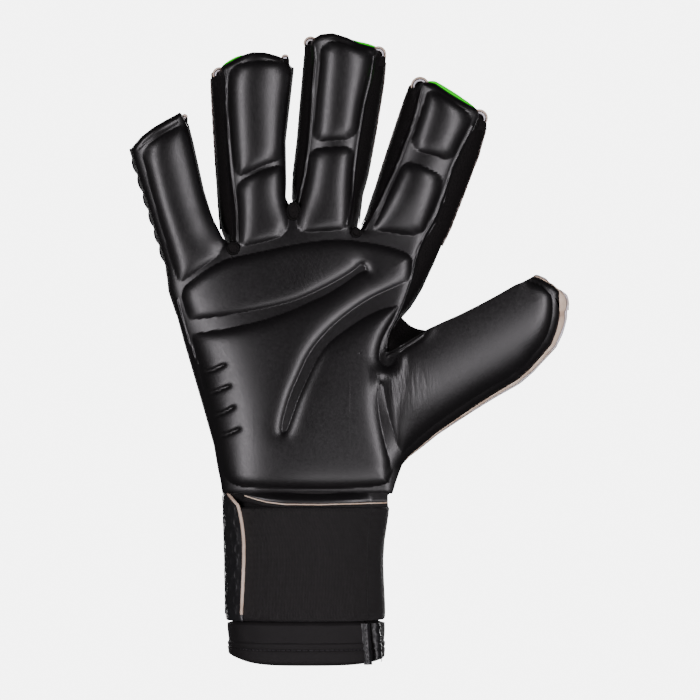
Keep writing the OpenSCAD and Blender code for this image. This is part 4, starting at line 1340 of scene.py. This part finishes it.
def cuff(phi, z, inset):
    phi, z, inset = np.broadcast_arrays(np.asarray(phi, float), np.asarray(z, float), np.asarray(inset, float))
    a = (CR(z) - CL(z)) / 2 - inset
    c = (CR(z) + CL(z)) / 2
    b = CD / 2 - inset
    p = np.radians(phi)
    return np.stack([c + a * spow(np.cos(p), 0.92), b * spow(np.sin(p), 0.92), z], -1)


def phi_of(x, z):
    """Angle of a point on the front of the cuff."""
    c = (CR(z) + CL(z)) / 2
    a = (CR(z) - CL(z)) / 2
    return -np.degrees(np.arccos(np.clip(spow((x - c) / a, 1 / 0.92), -1, 1)))


def arc_uv(P):
    d = np.concatenate([np.zeros((P.shape[0], 1)), np.cumsum(np.linalg.norm(np.diff(P, axis=1), axis=2), axis=1)], 1)
    return np.stack([d, P[..., 2]], -1)


def slab_of(name, phis, zs, outer, inner, mat, fn_out=None, bevel=0.4):
    """A closed wrap on the cuff: outer face, inner face and edges."""
    PH, ZZ = np.meshgrid(phis, zs)
    A = cuff(PH, ZZ, outer if fn_out is None else fn_out(PH, ZZ))
    B = cuff(PH, ZZ, inner)
    rim = lambda p, q: np.stack([p, (p + q) / 2 + (p - q) * 0.0, q])
    top = rim(A[-1], B[-1])
    bot = rim(B[0], A[0])
    lft = rim(A[:, 0], B[:, 0])
    rgt = rim(B[:, -1], A[:, -1])
    o = grid(name, A, mat, uv=arc_uv(A), more=[(B[:, ::-1], None, arc_uv(B[:, ::-1])), (top, None, None), (bot, None, None), (lft.transpose(1, 0, 2)[::-1].transpose(1, 0, 2), None, None), (rgt.transpose(1, 0, 2)[::-1].transpose(1, 0, 2), None, None)])
    weld(o)
    return o


# sleeve, from the hem up under the palm
def slit_half(z):
    return np.interp(z, [0, 10, 20, 45, 80], [2.6, 1.7, 0.8, 0.5, 0.4])


zs = np.concatenate([rows(9.4, 17.6, 0.8), rows(18.4, 74.6, 2.0)])
S = np.linspace(0, 1, 150)
PH = slit_c(zs)[:, None] + slit_half(zs)[:, None] + (360 - 2 * slit_half(zs))[:, None] * S[None]
ins = np.interp(zs, [0, 17.6, 18.4, 68.2, 70.4, 76], [0.25, 0.25, 2.9, 2.9, 5.0, 5.4])[:, None]
wr = 0.25 * np.sin(PH * 0.21 + 1.0) * np.sin(zs[:, None] * 0.34 + PH * 0.03) * np.interp(zs, [9, 12, 17, 19], [0, 1, 1, 0])[:, None]
A = cuff(PH, zs[:, None], ins + wr)
B = cuff(PH, zs[:, None], ins + 3.4)
edge1 = np.stack([A[:, 0], B[:, 0]], 1)
edge2 = np.stack([B[:, -1], A[:, -1]], 1)
oo = grid("cuff_sleeve_skin", A, neo.m, uv=arc_uv(A), more=[(B[:, ::-1], None, arc_uv(B[:, ::-1])), (edge1[:, ::-1], None, None), (edge2[:, ::-1], None, None)])
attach(oo, "hand")
done(oo, "cuff_sleeve")

# hem: folded over, with a stitched line
zs = rows(0, 9.9, 0.45)
fold = np.interp(zs, [0, 0.6, 1.6, 5.9, 6.2, 6.5, 6.9, 7.2, 9.2, 9.75, 9.9], [1.5, 0.4, -0.15, -0.3, -0.1, 0.28, 0.28, -0.1, -0.25, 0.1, 0.5])
PH = slit_c(zs)[:, None] + slit_half(zs)[:, None] + (360 - 2 * slit_half(zs))[:, None] * np.linspace(0, 1, 220)[None]
def hem_lift(ph):
    c = np.cos(np.radians(ph))
    return np.where(c < 0, 3.7, 2.0) * c ** 4


HZ = zs[:, None] + (1 - zs[:, None] / 9.9) * hem_lift(PH)
pull = 0.12 * np.sin(PH * 2.1) * np.exp(-((zs[:, None] - 6.7) / 1.4) ** 2)
A = cuff(PH, HZ, fold[:, None] + pull)
B = cuff(PH, HZ, 3.9)
bot = np.stack([B[0], A[0]])
top = np.stack([A[-1], B[-1]])
e1 = np.stack([A[:, 0], B[:, 0]], 1)[:, ::-1]
e2 = np.stack([B[:, -1], A[:, -1]], 1)[:, ::-1]
oo = grid("cuff_hem_fold", A, neo.m, uv=arc_uv(A), more=[(B[:, ::-1], None, arc_uv(B[:, ::-1])), (bot, None, None), (top, None, None), (e1, None, None), (e2, None, None)])
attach(oo, "hand")
done(oo, "cuff_hem")
st = []
per = np.linspace(SLIT + 6, SLIT + 354, 96)
for k in range(95):
    ph = np.linspace(per[k] + 0.5, per[k + 1] - 0.5, 5)
    lift = np.array([0.42, 0.12, 0.02, 0.12, 0.42])
    st.append(tube(cuff(ph, np.full(5, 6.7), lift), 0.26, 6, up=[0, 0, 1]))
oo = grid("hem_stitches", st[0][0], thread.m, uv=st[0][2], more=st[1:])
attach(oo, "hand")
done(oo)

# bindings of the slit
parts = []
for s in (-1, 1):
    zs = rows(0.15 if s < 0 else 2.2, 17.9, 0.5)
    w = np.linspace(0, 1, 12)
    PH = slit_c(zs)[:, None] + s * (slit_half(zs)[:, None] + 0.2 + (9.6 if s < 0 else 13.0) * w[None])
    roll = 1.5 * np.sin(PI * np.clip(w * 1.0, 0, 1)) ** 0.45
    A = cuff(PH, zs[:, None] + 0.25 * np.sin(zs[:, None] * 1.4) * 0, -1.35 * np.sin(PI * w[None]) ** 0.5 + 0.3 - (0.05 if s < 0 else 0.2) * np.sin(zs[:, None] * 1.5 + w[None] * 3))
    parts.append((A if s > 0 else A[:, ::-1], None, None))
    E = cuff(PH[:, :1] - s * 0.0, zs[:, None], np.linspace(0.3, 4.0, 5)[None])
    parts.append((E[:, ::-1] if s > 0 else E, None, None))
oo = grid("slit_binding_tapes", parts[0][0], bind.m, more=parts[1:])
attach(oo, "hand")
done(oo, "slit_bindings")
st = []
for s in (-1, 1):
    for z in np.arange(1.2, 16.8, 1.9):
        ph = float(slit_c(z)) + s * (float(slit_half(z)) + 7.6)
        p = cuff(np.full(5, ph), np.linspace(z, z + 1.3, 5), -1.0 + np.array([0.3, 0.0, -0.08, 0.0, 0.3]))
        st.append(tube(p, 0.2, 6))
oo = grid("binding_stitches", st[0][0], thread.m, uv=st[0][2], more=st[1:])
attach(oo, "hand")
done(oo)


# strap: ribbed elastic
def strap_edge_inset(ph, z, t0=0.15):
    """Rounded selvedges and slightly uneven surface."""
    d = np.minimum(z - SZ0, SZ1 - z)
    sel = 0.7 * np.exp(-np.maximum(d, 0) / 0.5)
    groove = 0.16 * np.exp(-((d - 2.2) / 0.28) ** 2)
    uneven = 0.16 * np.sin(ph * 0.11 + z * 0.05) * np.sin(z * 0.16 + 1.2)
    return t0 + sel + groove + uneven


zs = rows(SZ0, SZ1, 0.6)
oo = slab_of("strap_elastic", np.linspace(-40, -150, 150), zs, None, 1.95, elastic.m, lambda p, z: strap_edge_inset(p, z))
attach(oo, "strap_band")
done(oo, "elastic_band")
oo = slab_of("strap_hinge_end", np.linspace(42, -40, 80), zs, None, 1.95, elastic.m, lambda p, z: strap_edge_inset(p, z))
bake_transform(oo)
done(oo, "strap_anchor")

# tab: rounded border on the palm side, hexagons, wraps to the back
LINE = np.array([(-34.9, 74.9), (-33.6, 73.9), (-31.2, 71.0), (-28.9, 68.5), (-28.0, 65.2), (-27.1, 60.4), (-26.5, 55.5), (-26.3, 51.7), (-26.35, 44), (-26.6, 37.4), (-27.0, 29), (-27.4, 21.2), (-27.5, 19.2)])
line = along(LINE, np.linspace(0, 1, 120))
z_line = line[:, 1]


def tab_border_x(z):
    body_ = line[:104]
    o_ = np.argsort(body_[:, 1])
    return np.interp(z, body_[o_, 1], body_[o_, 0])


zt = rows(18.8, 68.4, 0.5)
ph0 = phi_of(tab_border_x(zt), zt)
s = np.linspace(0, 1, 170)
PH = ph0[:, None] + (-292 - ph0[:, None]) * s[None]
TOPZ = np.interp(-PH, [136, 141, 148.5, 168, 182, 205, 232], [68.4, 68.5, 70.8, 74.8, 75.2, 72.6, 68.4])
TZ = 18.8 + (TOPZ - 18.8) * ((zt[:, None] - 18.8) / 49.6)
arc = arc_uv(cuff(PH, TZ, -0.9))[..., 0]
arc = arc - arc[:, :1]
# linked rings with small dots between them
px = 6.4
cell_v = TZ / (px * 0.866)
hexd = np.full(arc.shape, 1e9)
dot = np.full(arc.shape, 1e9)
for dv in (-1, 0, 1, 2):
    rv = np.floor(cell_v) + dv
    off = (rv % 2) * 0.5
    for du in (-1, 0, 1, 2):
        ru = np.floor(arc / px) + du
        dx_ = arc - (ru + off) * px
        dy_ = (cell_v - rv) * px * 0.866
        hexd = np.minimum(hexd, np.hypot(dx_, dy_))
        dot = np.minimum(dot, np.hypot(dx_ - px / 2, dy_ - px * 0.2887))
ring_ = np.exp(-((hexd - 2.6) / 0.42) ** 2)
margin = smooth((arc - 2.4) / 1.0) * smooth((TZ - 20.8) / 1.0) * smooth((TOPZ - 2.2 - TZ) / 1.0) * smooth((arc[:, -1:] - arc - 3) / 1.5)
reliefs = (0.42 * ring_ + 0.35 * np.exp(-(dot / 0.42) ** 2)) * margin
edge_d = np.minimum.reduce([arc, arc[:, -1:] - arc, TZ - 18.8, TOPZ - TZ])
inset = -0.5 + 0.45 * np.exp(-np.maximum(edge_d, 0) / 0.5) - reliefs
At = cuff(PH, TZ, inset)
Bt = cuff(PH, TZ, 0.14)
mor = [(Bt[:, ::-1], None, arc_uv(Bt[:, ::-1])), (np.stack([At[-1], Bt[-1]]), None, None), (np.stack([Bt[0], At[0]]), None, None),
       (np.stack([At[:, 0], Bt[:, 0]], 1)[:, ::-1], None, None), (np.stack([Bt[:, -1], At[:, -1]], 1)[:, ::-1], None, None)]
oo = grid("closure_tab_skin", At[:, ::1], tab.m, uv=arc_uv(At), more=mor)
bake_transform(oo)
done(oo, "closure_tab", "tab_sewn_end")
# beige border
lp = cuff(phi_of(line[2:115, 0], z_line[2:115]), z_line[2:115], -0.35)
lp[:, 1] -= 0.05
t = tube(lp, 0.74 * np.sin(np.linspace(0.2, PI - 0.2, 113)) ** 0.12, 8, flat=0.8)
oo = grid("tab_border_piping", t[0], beige.m, uv=t[2])
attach(oo, "strap_band")
done(oo, "tab_edge_trim")
# elastic under the tab, to the pinky edge
oo = slab_of("strap_under_tab", np.linspace(-150, -178, 30), zs, 0.25, 1.95, elastic.m)
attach(oo, "strap_band")
done(oo)
oo = slab_of("hook_patch_pile", np.linspace(112, 74, 30), rows(25, 61.6, 1.2), 0.3, 1.15, hook.m)
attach(oo, "strap_tab")
done(oo, "hook_patch")
oo = slab_of("loop_patch_pile", np.linspace(122, 60, 44), rows(23, 63.6, 1.2), 1.75, 2.75, hook.m)
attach(oo, "hand")
done(oo, "loop_patch")

# ------------------------------------------------------------------ palm's lower edge
f = np.linspace(0.02, 0.985, 90)
def base_edge(z, dy):
    x = -34.6 + f * (36.2 + 34.6)
    own = y_front(x, np.full(90, 73.9))
    over = -21.9 * np.clip(1 - np.abs((x - 0.9) / 37.2) ** 2.2, 0, 1) ** 0.46
    k = float(np.clip((73.9 - z) / 2.5, 0, 1))
    return x, own * (1 - k) + np.minimum(own, over) * k + dy
rows_ = []
for z, dy in ((73.9, -0.02), (72.8, -0.25), (71.4, -0.6), (70.0, -0.8), (69.6, -0.3)):
    x, y = base_edge(z, dy)
    sag = np.interp(x, [-36, -30, -26, -22, -17, -9, 6, 34, 37], [3.9, 3.8, 3.2, 1.9, 0.6, -0.4, -0.5, 0.1, 0.3]) * (73.9 - z) / 4.3
    rows_.append(np.stack([x, y, z + sag], -1))
# a collar joins the glove's lower edge to the sleeve behind the flange
xl = float(HL(np.array([73.9]))[0]) + 0.35 if np.ndim(HL(np.array([73.9]))) else float(HL(73.9)) + 0.35
xs_ = np.linspace(xl, 36.6, 60)
z_ = np.full(60, 73.9)
w_ = smooth((xs_ - 31) / 3)
yf_ = y_front(xs_, z_) * (1 - w_) + y_thumb_front(xs_, z_) * w_ + 0.35
yb_ = y_back(xs_, z_) * (1 - w_) + y_thumb_back(xs_, z_) * w_ - 0.35
qs = np.linspace(0, 1, 16)
ring_x = np.concatenate([xs_, np.full(14, xs_[-1]), xs_[::-1], np.full(14, xs_[0]), xs_[:1]])
ring_y = np.concatenate([yf_, yf_[-1] + (yb_[-1] - yf_[-1]) * qs[1:-1], yb_[::-1], yb_[0] + (yf_[0] - yb_[0]) * qs[1:-1], yf_[:1]])
ph_ = np.degrees(np.arctan2(ring_y / 24.0, (ring_x - 0.9) / 36.0))
low_ = cuff(ph_, np.full(len(ph_), 69.6), np.full(len(ph_), 3.6))
top_ = np.stack([ring_x, ring_y, np.full(len(ring_x), 73.9)], -1)
qq = np.linspace(0, 1, 9)[:, None, None]
COL = top_[None] * (1 - qq) + low_[None] * qq
oo = grid("wrist_collar", COL, neo.m, uv=np.stack([np.broadcast_to(np.linspace(0, 190, len(ph_))[None], COL.shape[:2]), COL[..., 2]], -1))
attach(oo, "hand")
done(oo)
oo = grid("palm_base_flange", np.array(rows_[::-1]), palm.m)
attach(oo, "hand")
done(oo)
last = rows_[-1][rows_[-1][:, 0] > -26.5]
t = tube(np.stack([last[:, 0], last[:, 1] + 0.0, last[:, 2] - 0.15], -1), 0.3, 8)
oo = grid("palm_base_piping", t[0], cut.m, uv=t[2])
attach(oo, "hand")
done(oo, "palm_base_trim")
t = tube(np.stack([last[:, 0], last[:, 1] + 1.0, last[:, 2] - 1.1], -1), 1.0, 8)
oo = grid("palm_base_tape", t[0], neo.m, uv=t[2])
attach(oo, "hand")
done(oo)

# ------------------------------------------------------------------ stage, lights and camera
floor_me = bpy.data.meshes.new("floor")
R = 60.0
floor_me.from_pydata([(-R, -R, 0), (R, -R, 0), (R, R, 0), (-R, R, 0)], [], [(0, 1, 2, 3)])
floor = bpy.data.objects.new("floor", floor_me)
bpy.context.scene.collection.objects.link(floor)
fm = bpy.data.materials.new("floor_paper")
fm.use_nodes = True
fb = next(n for n in fm.node_tree.nodes if n.type == "BSDF_PRINCIPLED")
fb.inputs["Base Color"].default_value = (0, 0, 0, 1)
fb.inputs["Specular IOR Level"].default_value = 0.0
fb.inputs["Roughness"].default_value = 1.0
fb.inputs["Emission Color"].default_value = (0.855, 0.855, 0.855, 1)
fb.inputs["Emission Strength"].default_value = 7.0
floor_me.materials.append(fm)
floor.visible_diffuse = False
floor.visible_glossy = False
floor.visible_shadow = False

world = bpy.data.worlds.new("pale")
bpy.context.scene.world = world
world.use_nodes = True
wn = world.node_tree
wn.nodes.clear()
lp_ = wn.nodes.new("ShaderNodeLightPath")
b1 = wn.nodes.new("ShaderNodeBackground")
b1.inputs["Color"].default_value = (0.855, 0.855, 0.855, 1)
b1.inputs["Strength"].default_value = 7.0
b2 = wn.nodes.new("ShaderNodeBackground")
b2.inputs["Color"].default_value = (0.04, 0.04, 0.041, 1)
mx = wn.nodes.new("ShaderNodeMixShader")
wo = wn.nodes.new("ShaderNodeOutputWorld")
wn.links.new(lp_.outputs["Is Camera Ray"], mx.inputs["Fac"])
wn.links.new(b2.outputs[0], mx.inputs[1])
wn.links.new(b1.outputs[0], mx.inputs[2])
wn.links.new(mx.outputs[0], wo.inputs["Surface"])


def area(name, az, el, dist, w, h, power, color=(1, 1, 1), aim=(0.018, -0.01, 0.14)):
    """A soft light at azimuth az (0 in front, positive to the right) and elevation el."""
    l = bpy.data.lights.new(name, "AREA")
    l.shape = "RECTANGLE"
    l.size, l.size_y = w, h
    l.energy = power
    l.color = color
    o = bpy.data.objects.new(name, l)
    a, e = math.radians(az), math.radians(el)
    c = Vector(aim)
    o.location = c + dist * Vector((math.sin(a) * math.cos(e), -math.cos(a) * math.cos(e), math.sin(e)))
    o.rotation_euler = (c - Vector(o.location)).to_track_quat("-Z", "Y").to_euler()
    bpy.context.scene.collection.objects.link(o)
    return o


area("soft_left", -40, -6, 1.2, 0.34, 1.1, 11, (1.0, 0.95, 1.0))
area("soft_right", 40, -6, 1.2, 0.34, 1.1, 11, (1.0, 0.95, 1.0))
area("low_front", 14, -29, 1.3, 0.7, 0.4, 2.7, (1.0, 0.96, 1.0))
area("rear_a", 162, 4, 1.3, 0.28, 0.7, 5.5)
area("rear_b", -162, 4, 1.3, 0.28, 0.7, 5.5)

cam_data = bpy.data.cameras.new("camera")
cam_data.lens = 300
cam_data.sensor_width = 36
cam = bpy.data.objects.new("camera", cam_data)
cam.location = (0.0189, -2.5142, 0.135)
cam.rotation_euler = (math.radians(90), 0, 0)
bpy.context.scene.collection.objects.link(cam)
bpy.context.scene.camera = cam
